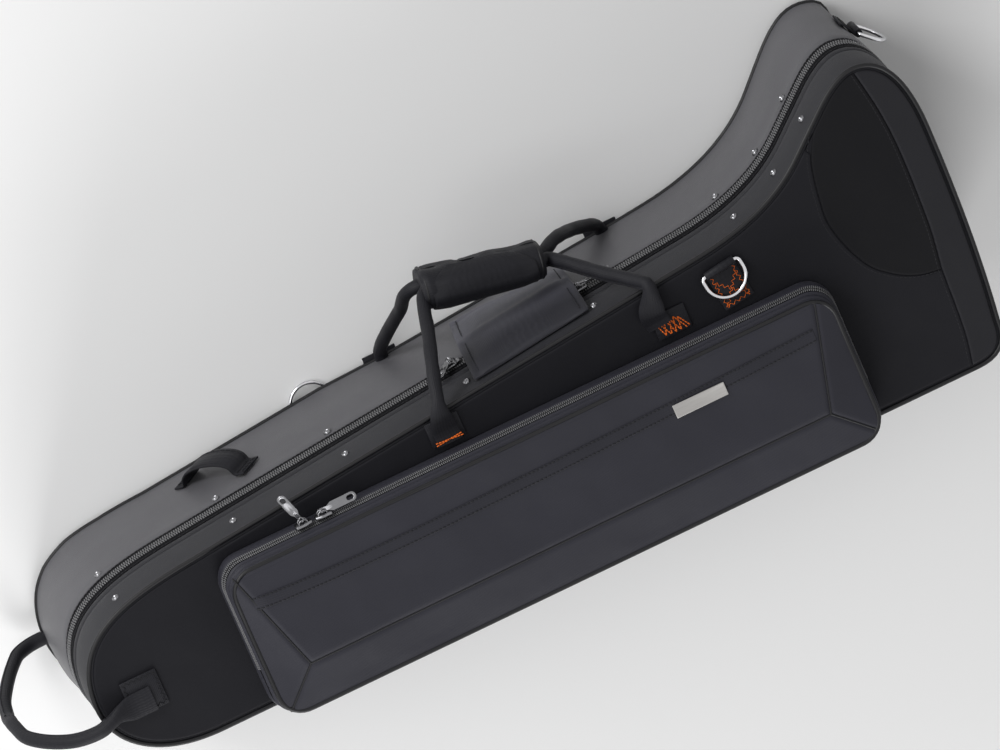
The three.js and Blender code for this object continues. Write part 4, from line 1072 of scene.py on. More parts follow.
class CASE_OT_hinge(bpy.types.Operator):
    """The fabric hinge along the side opposite the handles"""
    bl_idname = "case.hinge"
    bl_label = "Fabric hinge"

    def execute(self, context):
        start, end = at(0.066, -0.0013, 0), at(0.796, -0.0013, 0)
        reach = 0.0265

        def place(u, v):
            turn = 2 * math.pi * v
            half = reach - 0.0008
            height = PARTING + half * max(-1, min(1, 1.35 * math.cos(turn))) + 0.0008 * math.cos(turn)
            seam = 0.0005 * math.exp(-((height - PARTING) / 0.003) ** 2)
            return Vector((start.x + (end.x - start.x) * u, start.y + 0.0009 * math.sin(turn) - seam, height))

        bm = grid_mesh(60, 52, place, (end.x - start.x, 4 * reach), False, True, True)
        made = piece("hinge_fabric", bm, "webbing", None, ["hinge_base_leaf", "hinge_lid_leaf"])
        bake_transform(made)
        for name, body, side in (("hinge_base_stitches", "base", -1), ("hinge_lid_stitches", "lid", 1)):
            line = [Vector((x, start.y + 0.0011, PARTING + side * (reach - 0.0035)))
                    for x in (start.x + 0.004, end.x - 0.004)]
            stitching(name, stitch_mesh(line, 0.00045, lift=Vector((0, 1, 0))), body)
        return {"FINISHED"}


class CASE_OT_rivets(bpy.types.Operator):
    """Domed rivets on both sides of the main zip"""
    bl_idname = "case.rivets"
    bl_label = "Rivets"

    def execute(self, context):
        for name, height, body, node in (("base_domes", RIVET_BASE_HEIGHT, "base", "base_rivets"),
                                         ("lid_domes", RIVET_LID_HEIGHT, "lid", "lid_rivets")):
            bulge = context.scene.case_sizes.cover_bulge * (0.35 if body == "base" else 0.6)
            bm = bmesh.new()
            edge = [(0.0, 0.0004), (0.0012, 0.0005), (0.0020, 0.0012), (0.0026, 0.0019), (0.0031, 0.0017),
                    (0.0036, 0.0011), (0.0039, 0.0004), (0.0040, -0.0006)]
            verts = [bm.verts.new((x, 0, z)) for x, z in edge]
            edges = [bm.edges.new(pair) for pair in zip(verts, verts[1:])]
            bmesh.ops.spin(bm, geom=verts + edges, cent=(0, 0, 0), axis=UP, angle=2 * math.pi, steps=20,
                           use_merge=True)
            bmesh.ops.remove_doubles(bm, verts=bm.verts, dist=1e-6)
            bmesh.ops.recalc_face_normals(bm, faces=bm.faces)
            box_uvs(bm)
            if sum(face.normal.z for face in bm.faces) < 0:
                bmesh.ops.reverse_faces(bm, faces=bm.faces)
            add_copies(bm, [spine_frame(along, height, bulge) for along in RIVET_ALONGS])
            piece(name, bm, "dark_metal", body, [node], slot="chrome")
        return {"FINISHED"}


class CASE_OT_liners(bpy.types.Operator):
    """Plush foam liners inside the base and the lid"""
    bl_idname = "case.liners"
    bl_label = "Liners"

    def execute(self, context):
        for node in ("base_foam_bell", "base_foam_middle", "base_foam_tail", "lid_foam", "mouthpiece_block"):
            body = "lid" if node == "lid_foam" else "base"
            bm = bmesh.new()
            bm.from_mesh(bpy.data.objects[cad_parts[node].name].data)
            bmesh.ops.remove_doubles(bm, verts=bm.verts, dist=1e-5)
            made = piece(node + "_plush", bm, "plush", body, [node])
            soften(made, 0.0045 if node != "mouthpiece_block" else 0.003, 4)
            if body == "base":
                self.hold_in(made)
        return {"FINISHED"}

    def hold_in(self, made, gap=0.003):
        """Presses a liner inwards where the side is drawn in past it."""
        nearest = KDTree(len(OUTLINE))
        for i, point in enumerate(OUTLINE):
            nearest.insert(moved_to(point, 0), i)
        nearest.balance()
        for vert in made.data.vertices:
            point, i, _ = nearest.find(moved_to(vert.co, 0))
            out = loop_rim(OUTLINE, i)[1]
            past = (vert.co - point).xy.dot(out.xy) + gap - min(0, back_shift(OUTLINE[i], vert.co.z))
            if past > 0:
                vert.co -= out * past


def soften(made, voxel, repeats):
    """Remeshes a piece evenly and rounds its edges."""
    remesh = made.modifiers.new("even", "REMESH")
    remesh.mode = "VOXEL"
    remesh.voxel_size = voxel
    smooth = made.modifiers.new("rounded", "SMOOTH")
    smooth.iterations = repeats
    smooth.factor = 0.5
    apply_modifiers(made)


def apply_modifiers(made):
    """Leaves the piece with the mesh that its modifiers make."""
    bpy.context.view_layer.update()
    finished = bpy.data.meshes.new_from_object(made.evaluated_get(bpy.context.evaluated_depsgraph_get()))
    made.modifiers.clear()
    made.data = finished
    finished.shade_smooth()


class CASE_OT_straps(bpy.types.Operator):
    """Webbing straps that hold the slide and the bell"""
    bl_idname = "case.straps"
    bl_label = "Inner straps"

    def execute(self, context):
        thick = context.scene.case_sizes.webbing_thickness
        for node, body, along, low, high, height in (
                ("slide_strap_1", "lid", 0.230, 0.012, 0.098, 0.1577),
                ("slide_strap_2", "lid", 0.690, 0.012, 0.098, 0.1577),
                ("bell_strap", "base", 0.490, 0.132, 0.186, 0.1463)):
            points = [at(along, low + (high - low) * i / 10, height - 0.0008 * math.sin(math.pi * i / 10))
                      for i in range(11)]
            bm = strap_mesh(points, UP, 0.025, thick * 0.85)
            piece(node + "_webbing", outward(bm), "webbing", body, [node])
            if node == "bell_strap":
                continue
            for i, end in enumerate((low + 0.006, high - 0.006)):
                line = [at(along + aside, end, height - thick * 0.45) for aside in (-0.010, 0.010)]
                stitching(f"{node}_stitches_{i + 1}", zigzag_mesh(line, 0.0004, UP), body)
        return {"FINISHED"}


def flat_end(radius, distance, start, run):
    """The half width and half thickness of a roll that is pressed flat near its sewn end."""
    flat = 1 - eased((distance - start) / run)
    return radius + (FLAT_HALF - radius) * flat, radius + (FLAT_THICKNESS - radius) * flat


def rolled_handle(name, node, body, line, radius, shape, skipped):
    """A roll of webbing along a line and the seam that closes it, which skips so many points at each end."""
    piece(name + "_roll", outward(tube_mesh(line, radius, 18, shape=shape)), "webbing", body, [node])
    frames = carried_frames(line)[skipped[0]:len(line) - skipped[1]]
    welt = [origin + (side * 0.93 - lift * 0.45).normalized() * radius * 0.98
            for origin, side, lift in frames]
    piece(name + "_seam", outward(tube_mesh(welt, SEAM_RADIUS, 8)), "webbing", body)


def sewn_patch(node, body, place, width, depth):
    """A flat patch of webbing centred on a place."""
    patch = block_mesh((width, depth, PATCH_THICKNESS), Matrix.Translation(place), PATCH_EDGE)
    piece(node + "_webbing", patch, "webbing", body, [node])


class CASE_OT_handles(bpy.types.Operator):
    """Rolled carrying handles of the lid and the base, with their patches"""
    bl_idname = "case.handles"
    bl_label = "Carrying handles"

    def execute(self, context):
        radius = context.scene.case_sizes.handle_radius
        self.front_handle(radius)
        self.back_handle(radius)
        for i, along in enumerate(FRONT_PATCHES):
            node = f"front_handle_patch_{i + 1}"
            sewn_patch(node, "lid", at(along, PATCH_RISE, FRONT + 0.0015), 0.034, 0.025)
            lift = 0.0029 if i else 0.0068
            lines = bmesh.new()
            for row in PATCH_STITCHES[i]:
                line = [at(along - x, PATCH_RISE + y, FRONT + lift) for x, y in row]
                merge(lines, stitch_mesh(line, 0.0006, 0.0031, 0.0026))
            stitching(node + "_stitches", lines, "lid", "thread")
        for i, along in enumerate(BACK_PATCHES):
            place = at(along, self.edge(along, BACK) - 0.007, BACK - 0.0013)
            sewn_patch(f"back_handle_patch_{i + 1}", "base", place, 0.034, 0.026)
        return {"FINISHED"}

    def edge(self, along, height):
        """The rise of the spine's edge at a place."""
        return HINGE_Y - wall_point(spine_share(along), 0, height).y

    def front_handle(self, radius):
        """The lid's handle, pressed flat on its patches."""
        high, (tail_along, bell_along) = FRONT + 0.0093, FRONT_PATCHES
        tail_edge, bell_edge = self.edge(tail_along, FRONT), self.edge(bell_along, FRONT)
        tail = [(tail_along, 0.160, FRONT + 0.0050), (tail_along, 0.172, FRONT + 0.0052),
                (tail_along, 0.181, FRONT + 0.0075), (0.526, tail_edge + 0.006, high - 0.001),
                (0.513, 0.228, 0.225), (0.501, 0.249, 0.195), (0.492, 0.266, 0.168)]
        bell = [(0.3055, 0.1735, FRONT + 0.0044), (0.307, 0.180, FRONT + 0.0050),
                (0.3085, 0.188, FRONT + 0.0078), (0.305, 0.199, FRONT + 0.0090),
                (0.3005, bell_edge + 0.0040, high - 0.0006), (0.304, 0.2195, 0.2435), (0.330, 0.2315, 0.207)]
        self.handle("front", "lid", radius, tail, bell, 0.1545, (0.05, 0.3, 0.7, 1, 1.06), 9)

    def back_handle(self, radius):
        """The base's handle, sewn in at the back edge."""
        high, (tail_along, bell_along) = BACK + radius + 0.0002, BACK_PATCHES
        tail_edge, bell_edge = self.edge(tail_along, BACK), self.edge(bell_along, BACK)
        tail = [(tail_along, tail_edge - 0.001, high), (0.533, tail_edge + 0.010, high + 0.005),
                (0.525, 0.214, 0.045), (0.508, 0.247, 0.095)]
        bell = [(bell_along, bell_edge - 0.001, high), (0.299, 0.213, 0.017), (0.308, 0.2225, 0.034),
                (0.328, 0.2365, 0.066), (0.350, 0.250, 0.110)]
        self.handle("back", "base", radius, tail, bell, 0.1395, (-0.04, 0.3, 0.7, 0.98), 1)

    def handle(self, part, body, radius, tail, bell, middle, shares, skipped):
        """A handle from its tail end through the grip to its bell end."""
        along_grip = [at(*Vector(GRIP_TAIL).lerp(Vector(GRIP_BELL), share), middle) for share in shares]
        line = [at(*spot) for spot in tail] + along_grip + [at(*spot) for spot in bell[::-1]]
        line = smooth_line(line, HANDLE_STEP)
        length = HANDLE_STEP * len(line)

        def shape(v):
            near = min(v, 1 - v) * length
            crush = 0.0002 * math.sin(near * 210)
            half, thin = flat_end(radius, near, 0.0187, 0.0255) if body == "lid" else (radius, radius)
            return half + crush, thin - crush

        rolled_handle(part + "_handle", part + "_handle", body, line, radius, shape, (skipped, skipped))


def stadium(radius, half, spread):
    """Points of the side of a stadium from its lower middle over its top, as sideways and up."""
    points = [(radius, half * i / 4) for i in range(5)]
    turns = [math.pi * i / 20 for i in range(1, 20)]
    points += [(radius * math.cos(turn), half + radius * math.sin(turn)) for turn in turns]
    points += [(-radius, half * (1 - i / 4)) for i in range(5)]
    return [(x, spread + y) for x, y in points]


class CASE_OT_grip(bpy.types.Operator):
    """Padded wrap round both carrying handles, in a front and a back half"""
    bl_idname = "case.grip"
    bl_label = "Padded grip"

    def execute(self, context):
        start, end = at(*GRIP_BELL, GRIP_HEIGHT), at(*GRIP_TAIL, GRIP_HEIGHT)
        onward = (end - start).normalized()
        side = UP.cross(onward)
        length = (end - start).length
        for name, body, lift in (("grip_front_half", "lid", 1), ("grip_back_half", "base", -1)):
            inner = stadium(0.0070, 0.0070, 0.0003)

            def place(u, v, lift=lift, inner=inner):
                near = min(v, 1 - v) * length
                swell = min(1, near / 0.006) ** 0.5
                radius = 0.0146 + 0.0019 * swell + 0.0022 * v
                soft = noise.noise(Vector((v * 6, u * 4, 4.0 + lift))) * 0.0030 * swell
                soft -= 0.0014 * math.exp(-((v - 0.62 - 0.25 * (u - 0.25)) / 0.02) ** 2)
                ring = stadium(radius + soft, 0.0074, 0.0003)
                whole = ring + inner[::-1]
                x, y = whole[round(u * len(whole)) % len(whole)]
                return start + onward * (v * length) + side * x + UP * (lift * y)

            count = 2 * len(inner)
            bm = grid_mesh(count, 48, place, (0.13, length), True, False, True)
            made = piece(name + "_wrap", outward(bm), "webbing", body, [name])
            binding = bmesh.new()
            for share in (0.03, 0.97):
                middle = start + onward * (length * share)
                section = stadium(0.0157 + 0.0022 * share, 0.0074, 0.0006)
                ring = [middle + side * x + UP * (lift * y) for x, y in section]
                merge(binding, tube_mesh(even_steps(ring, 0.002, False), 0.0014, 8))
            piece(name + "_binding", binding, "piping", body, slot="webbing")
        flap = range(2, 24)

        def tongue(u, v):
            turn = 2 * math.pi * u
            reach = 0.5 - 0.20 * max(0, v - 0.70) / 0.30
            across = squared(math.cos(turn), 0.25) * 0.86 * reach
            along = 0.5 + across + 0.05 * max(0, v - 0.5) * (1 - abs(across))
            folds = 0.0021 * noise.noise(Vector((along * 5 + v * 2.4, v * 5, 2.6)))
            folds *= math.sin(math.pi * v) ** 0.5
            folds += 0.0019 * math.exp(-((along - 0.30 - 0.28 * v) / 0.03) ** 2) * math.sin(math.pi * v)
            ring = stadium(0.0177 + 0.0022 * along, 0.0074, 0.0012)
            x, y = ring[flap[round(v * (len(flap) - 1))]]
            grow = 1 + (0.0009 * math.sin(turn) + folds) / 0.0177
            return start + onward * (length * along) + side * (x * grow) + UP * (y * grow)

        bm = grid_mesh(24, len(flap) - 1, tongue, (0.2, 0.05), True, False, True)
        piece("grip_closing_flap", outward(bm), "webbing", "lid")
        return {"FINISHED"}


class CASE_OT_tail_handle(bpy.types.Operator):
    """Rolled handle round the tail, in a front and a back half, with its patch"""
    bl_idname = "case.tail_handle"
    bl_label = "Tail handle"

    def execute(self, context):
        radius = context.scene.case_sizes.handle_radius
        patch, rise, tip = 0.884, 0.066, CASE_LENGTH + 0.072
        low, lower, over, above = [rise + radius * k for k in (-1, -2, 1, 2)]
        front = FRONT + 0.0093
        back = BACK + radius
        lines = {
            "front": [(patch - 0.006, low, FRONT + 0.0048), (patch + 0.012, low, FRONT + 0.0052),
                      (patch + 0.030, low, FRONT + 0.0078), (CASE_LENGTH + radius, lower, front),
                      (CASE_LENGTH + 0.036, lower, front - 2 * radius),
                      (tip - radius, low, (front + PARTING) / 2),
                      (tip, rise, PARTING + 2 * radius), (tip, rise, PARTING + 0.0003)],
            "back": [(tip, rise, PARTING - 0.0003), (tip, rise, PARTING - 2 * radius),
                     (tip - radius, over, (FRONT + BACK) / 2 - 3 * radius),
                     (CASE_LENGTH + 0.036, above, back + 3 * radius),
                     (CASE_LENGTH + 3 * radius, above, back + radius / 2),
                     (CASE_LENGTH - 0.001, above, back)],
        }
        for part, body, skipped in (("front", "lid", (12, 1)), ("back", "base", (1, 1))):
            line = smooth_line([at(*spot) for spot in lines[part]], HANDLE_STEP)
            length = HANDLE_STEP * len(line)
            pressed = lambda v, length=length: flat_end(radius, v * length, 0.020, 0.026)
            rolled_handle(f"tail_handle_{part}", f"tail_handle_{part}_half", body, line, radius,
                          pressed if part == "front" else None, skipped)
        sewn_patch("tail_handle_patch", "lid", at(patch, rise, FRONT + 0.0015), 0.037, 0.037)
        half = 0.0158
        lines = bmesh.new()
        for a, b in (((-half, -half), (-half, half)), ((half, -half), (half, half)),
                     ((-half, -half), (half, -half)), ((-half, half), (half, half))):
            line = [at(patch + x, rise + y, FRONT + 0.0028) for x, y in (a, b)]
            merge(lines, zigzag_mesh(line, 0.00045, UP))
        stitching("tail_handle_patch_stitches", lines, "lid")
        return {"FINISHED"}


class CASE_OT_side_loop(bpy.types.Operator):
    """Webbing loop on the side of the base"""
    bl_idname = "case.side_loop"
    bl_label = "Side loop"

    def execute(self, context):
        thick = context.scene.case_sizes.webbing_thickness
        bulge = context.scene.case_sizes.cover_bulge
        half, foot, rise = 0.043, 0.012, 0.015
        sewn = [(-half, 0.0), (-half + foot * 0.5, 0.0), (-half + foot * 0.9, 0.0002)]
        turns = [math.pi * i / 12 for i in range(1, 12)]
        local = [((foot - half) * math.cos(turn), 0.001 + rise * math.sin(turn) ** 0.8) for turn in turns]
        local = sewn + local + [(-x, z) for x, z in sewn[::-1]]
        place = spine_frame(0.725, 0.076, bulge + thick / 2 + 0.0004)
        place = place @ Matrix.Rotation(math.radians(-46), 4, "Z")
        line = smooth_line([place @ Vector((x, 0, z)) for x, z in local], 0.003)
        out = (place.to_3x3() @ UP).normalized()
        bm = strap_mesh(line, out, 0.030, thick)
        piece("side_loop_webbing", outward(bm), "webbing", "base", ["side_loop"])
        frames = carried_frames(line, lift=out)
        edges = bmesh.new()
        for across in (-0.0115, 0.0115):
            laid = [origin + side * across + lift * thick * 0.5 for origin, side, lift in frames[::2]]
            for first, last in zip(laid, laid[1:]):
                merge(edges, tube_mesh([first.lerp(last, share) for share in (0.12, 0.5, 0.88)], 0.0005, 5))
        stitching("side_loop_edge_stitches", edges, "base")
        feet = bmesh.new()
        for end in (-half + 0.003, -half + foot - 0.003, half - 0.003, half - foot + 0.003):
            points = [place @ Vector((end, y, thick / 2 + 0.0004)) for y in (-0.012, 0.012)]
            merge(feet, zigzag_mesh(points, 0.00045, out))
        stitching("side_loop_stitches", feet, "base")
        return {"FINISHED"}


def ring_mesh(frame_matrix, wire):
    """A D-ring of round wire, made flat on a face: the bar lies across X and the ring hangs towards -Y."""
    half, deep, bend = 0.020, 0.030, wire * 2.2
    points = [Vector((x, 0, 0)) for x in (-half + bend, 0, half - bend)]
    points += quadratic(Vector((half - bend, 0, 0)), Vector((half, 0, 0)), Vector((half, -bend, 0)), 6)[1:]
    points += [Vector((half * math.cos(turn), half - deep - half * math.sin(turn), 0))
               for turn in [math.pi * i / 20 for i in range(21)]]
    points += quadratic(Vector((-half, -bend, 0)), Vector((-half, 0, 0)), Vector((bend - half, 0, 0)), 6)[:-1]
    line = [frame_matrix @ point for point in even_steps(points, 0.0016)]
    return tube_mesh(line, wire, 14, True)


def tab_mesh(frame_matrix, wire, thickness, wall, length, side, width):
    """A webbing tab that wraps round the ring's bar and lies on the face."""
    radius = wire + 0.00035 + wall / 2
    bar = 0.0003 + wire + 0.00035 + wall
    lift = 0.0003 + thickness / 2
    local = [Vector((0, side * (length * (1 - i / 6) + 0.001 * i / 6), lift)) for i in range(6)]
    local += [Vector((0, -side * radius * math.sin(turn), bar - radius * math.cos(turn)))
              for turn in [math.pi * 2 * i / 20 for i in range(1, 19)]]
    line = even_steps([frame_matrix @ point for point in local], 0.0014, False)
    return strap_mesh(line, (frame_matrix.to_3x3() @ UP).normalized(), width, max(thickness, wall) * 0.98)


class CASE_OT_rings(bpy.types.Operator):
    """D-rings for a shoulder strap and their webbing tabs"""
    bl_idname = "case.rings"
    bl_label = "Strap rings"

    def execute(self, context):
        angle = math.radians(8)
        along = Vector((-math.cos(angle), -math.sin(angle), 0))
        front = Matrix.Translation(at(0.233, 0.200, FRONT)) @ axes(along, UP.cross(along), UP)
        self.ring("front_ring", front, "lid", 0.002, 0.0018, 0.0019, 0.040, -1, 0)
        before, place, after = END_RING
        run = (after - before).normalized()
        out = Vector((run.y, -run.x, 0))
        down = -UP
        end = Matrix.Translation(place + UP * END_RING_HEIGHT) @ axes(down, out.cross(down), out)
        self.ring("end_ring", end, "base", 0.002, 0.0018, 0.0019, 0.018, 1, math.radians(20), True)
        point, outwards, onward = rim(spine_share(0.612))
        place = point - outwards * 0.019 + UP * BACK
        back = Matrix.Translation(place) @ axes(-onward, down.cross(-onward), down)
        self.ring("back_ring", back, "base", 0.0017, 0.001, 0.0007, 0.014, 1, 0)
        return {"FINISHED"}

    def ring(self, name, place, body, wire, thickness, wall, length, side, tilt, curved=False):
        """One ring on its tab, which is laid on a curved side where that is asked for."""
        inverse = place.inverted()
        spot = place.translation
        near = min(range(len(OUTLINE)), key=lambda i: (OUTLINE[i].xy - spot.xy).length)
        start, _, onward = rim(near / len(OUTLINE))
        start = near / len(OUTLINE) + (spot - start).xy.dot(onward.xy) / PERIMETER

        def lay(bm):
            """Bends the flat part of the tab and its stitches round the side."""
            for vert in bm.verts if curved else ():
                local = inverse @ vert.co
                if side * local.y > 0.0026 and local.z < thickness + 0.0012:
                    lift = local.z + 0.0026 * eased((side * local.y - 0.0026) / 0.002)
                    vert.co = wall_point(start + local.y / PERIMETER, lift, vert.co.z)
            return bm

        bar = 0.0003 + wire + 0.00035 + wall
        hung = place @ Matrix.Translation((0, 0, bar)) @ Matrix.Rotation(-tilt, 4, "X")
        piece(name + "_wire", outward(ring_mesh(hung, wire)), "chrome", name, [name])
        width = min(0.040 - 4 * wire - 0.0006, 0.034)
        bm = tab_mesh(place, wire, thickness, wall, length, side, width)
        piece(name + "_tab_webbing", lay(outward(bm)), "webbing", body, [name + "_tab"])
        lines = bmesh.new()
        near, far, half = 0.0045, length - 0.003, width / 2 - 0.004
        rows = [((-half, near), (-half, far)), ((half, near), (half, far)), ((-half, far), (half, far))]
        if length > 0.03:
            rows += [((-half, near + 0.006), (half, far)), ((half, near + 0.006), (-half, far))]
        top = 0.0003 + max(thickness, wall)
        out = (place.to_3x3() @ UP).normalized()
        for a, b in rows:
            line = [place @ Vector((x, side * y, top)) for x, y in (a, b)]
            merge(lines, zigzag_mesh(line, 0.0004, out))
        finish = "thread" if name == "front_ring" else "dark_thread"
        stitching(name + "_tab_stitches", lay(lines), body, finish)


class CASE_OT_flap(bpy.types.Operator):
    """Padded flap over the middle of the main zip"""
    bl_idname = "case.flap"
    bl_label = "Zip flap"

    def execute(self, context):
        low, high = 0.046, 0.224
        corners = (((0.351, 0.084), (0.356, 0.219)), ((0.466, low), (0.482, high)))

        def surface(across, share):
            """Along, height and stand off the side, from bell to tail and from root to tip."""
            bell, tail = [Vector(root).lerp(Vector(tip), share) for root, tip in corners]
            along, height = bell.lerp(tail, (across + 1) / 2)
            swell = math.sin(math.pi * held((height - 0.064) / 0.160))
            return along, height, 0.0033 + 0.0112 * swell

        def place(u, v):
            near = min(v, 1 - v) * (high - low)
            turn = 2 * math.pi * u
            across = squared(math.cos(turn), 0.45)
            lift = squared(math.sin(turn), 0.6)
            edge = min(1.0, near / 0.0035) ** 0.5
            along, height, out = surface(across * (0.985 + 0.015 * edge), v)
            quilt = 0.0009 * math.exp(-((abs(across) - 0.88) / 0.04) ** 2) * (1 if lift > 0 else 0)
            ridge = 0.0016 * math.exp(-((height - 0.148) / 0.008) ** 2) * max(0, lift)
            soft = 0.0018 * noise.noise(Vector((across * 2.2, v * 4, 1.7))) * max(0, lift)
            thick = 0.0030 * lift * (0.35 + 0.65 * edge) - quilt + ridge + soft
            point, outwards, _ = rim(spine_share(along))
            return point + outwards * (out + thick) + UP * height

        bm = grid_mesh(56, 64, place, (0.23, high - low), True, False, True)
        made = piece("zip_flap_pad", outward(bm), "flap_fabric", None, ["zip_flap", "zip_flap_root"],
                     slot="front_fabric")
        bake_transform(made)
        for part, body, first, last in (("root", "base", 0.05, 0.50), ("tip", "zip_flap", 0.62, 0.96)):
            rows = bmesh.new()
            for end in (0.88, -0.88):
                points = []
                for i in range(13):
                    along, height, out = surface(end, first + (last - first) * i / 12)
                    point, outwards, _ = rim(spine_share(along))
                    points.append(point + outwards * (out + 0.0024) + UP * height)
                side = rim(spine_share(0.42))[1]
                merge(rows, stitch_mesh(points, 0.0005, lift=side))
            stitching(f"zip_flap_{part}_stitches", rows, body)
        return {"FINISHED"}


SLIDER_THICKNESS = 0.003
BAR_RISE = 0.0027
PULL_WIDTH = 0.0094


def slider_mesh(seat):
    """A zip slider made flat on a face: X along the chain with the nose towards +X, Z out of the face."""
    half, wide, nose, thick = 0.0083, 0.0068, 0.0046, SLIDER_THICKNESS
    bm = bmesh.new()
    edge = [(-half, nose), (-half * 0.2, wide), (half, wide)]
    loop = [(x, -y) for x, y in edge] + edge[::-1]
    face = bm.faces.new([bm.verts.new((x, y, seat)) for x, y in loop])
    raised = bmesh.ops.extrude_face_region(bm, geom=[face])["geom"]
    bmesh.ops.translate(bm, verts=verts_of(raised), vec=UP * thick)
    bmesh.ops.recalc_face_normals(bm, faces=bm.faces)
    bevelled(bm, 0.0009, 3)
    top = seat + thick
    for side in (-1, 1):
        arch = [Vector((x, side * 0.0031, top + rise)) for x, rise in
                ((-0.0045, -0.0004), (-0.0036, 0.0020), (0.0, 0.0033), (0.0036, 0.0020), (0.0045, -0.0004))]
        merge(bm, tube_mesh(smooth_line(arch, 0.0008), 0.0006, 8))
    bar = top + BAR_RISE
    merge(bm, tube_mesh([Vector((0, y, bar)) for y in (-0.0037, -0.0018, 0, 0.0018, 0.0037)], 0.0009, 12))
    return bm


def pull_mesh(length, width, twist, lean):
    """A flat zip pull with an oval hole at its rounded end, on a bar at the origin and lying towards +X."""
    neck = 0.0022
    upper = [Vector((-0.0016, neck, 0)), Vector((0.0022, neck, 0)), Vector((0.0068, width / 2 * 0.94, 0))]
    arc = [Vector((length - width / 2 + width / 2 * math.cos(turn), width / 2 * math.sin(turn), 0))
           for turn in [math.pi / 2 * (1 - i / 10) for i in range(11)]]
    half = smooth_line(upper, 0.0008)[:-1] + even_steps([upper[-1]] + arc, 0.0008, False)
    outline = half + [Vector((point.x, -point.y, 0)) for point in half[::-1][1:]]
    outline = even_steps(outline[::-1], 0.0007)
    hole_from, hole_to, hole = length * 0.76, length - width * 0.56, 0.0022
    inner = []
    for point in outline:
        centre = Vector((max(hole_from, min(hole_to, point.x)), 0, 0))
        away = point - centre
        away = away.normalized() if away.length > 1e-9 else Vector((-1, 0, 0))
        inner.append(centre + away * hole)
    count = len(outline)
    thin, edge = 0.0008, 0.0004
    section = ((0, edge, thin), (1, -edge, thin), (1, 0, thin - edge), (1, 0, edge - thin), (1, -edge, -thin),
               (0, edge, -thin), (0, 0, edge - thin), (0, 0, thin - edge))

    def place(u, v):
        i = round(v * count) % count
        sides = outline[i], inner[i]
        which, away, lift = section[round(u * 8) % 8]
        return sides[which] + (inner[i] - outline[i]).normalized() * away + UP * lift

    bm = grid_mesh(8, count, place, (0.024, 0.08), True, True)
    outward(bm)
    link = Matrix.Translation((0.0040, 0, 0))
    hang = link @ Matrix.Rotation(math.radians(lean), 4, "Z") @ Matrix.Rotation(math.radians(twist), 4, "X")
    bmesh.ops.transform(bm, matrix=hang @ Matrix.Diagonal((0.94, 1, 1, 1)), verts=bm.verts)
    ring = [Vector((0.0010 + 0.0024 * math.cos(turn), 0, 0.0017 * math.sin(turn)))
            for turn in [2 * math.pi * i / 14 for i in range(14)]]
    for y in (-0.0014, 0, 0.0014):
        merge(bm, tube_mesh([point + Vector((0, y, 0)) for point in ring], 0.0008, 6, True))
    return bm


class CASE_OT_sliders(bpy.types.Operator):
    """Zip sliders and their pulls"""
    bl_idname = "case.sliders"
    bl_label = "Zip sliders"

    def execute(self, context):
        pocket = axes(Vector((1, 0, 0)), UP, Vector((0, -1, 0)))
        pocket = Matrix.Translation(at(0, 0.153, POCKET_ZIP)) @ pocket
        step = lambda along: Matrix.Translation((TAIL_X - CASE_LENGTH + along - at(0, 0, 0).x, 0, 0))
        rows = (("tail_zip", self.side_frame(0.488, PARTING), 0.0017, 1, 0, 0.034, 0, 62),
                ("bell_zip", self.side_frame(0.352, PARTING), 0.0017, -1, 0, 0.034, 0, 0),
                ("pocket_tail", step(0.686) @ pocket, 0.0015, 1, 70, 0.030, 72, 0),
                ("pocket_bell", step(0.666) @ pocket, 0.0015, -1, 0, 0.034, 68, 0))
        for name, place, seat, towards, angle, length, twist, lean in rows:
            turned = place @ Matrix.Rotation(math.pi if towards < 0 else 0, 4, "Z")
            body = slider_mesh(seat)
            bmesh.ops.transform(body, matrix=turned, verts=body.verts)
            box_uvs(body)
            slider = name + "_slider"
            piece(slider + "_body", body, "dark_metal", slider, [slider], slot="chrome")
            pull = pull_mesh(length, PULL_WIDTH, twist, lean)
            pin = Matrix.Translation((0, 0, seat + SLIDER_THICKNESS + BAR_RISE))
            lay = pin @ Matrix.Rotation(-math.radians(angle), 4, "Y")
            bmesh.ops.transform(pull, matrix=turned @ lay, verts=pull.verts)
            box_uvs(pull)
            piece(name + "_pull_tab", pull, "dark_metal", name + "_pull", [name + "_pull"], slot="chrome")
        return {"FINISHED"}

    def side_frame(self, along, height):
        """A frame on the straight side, square to the straight run of the outline."""
        share = spine_share(along)
        point, out, onward = rim(share)
        return Matrix.Translation(point + UP * height) @ axes(onward, UP, out)


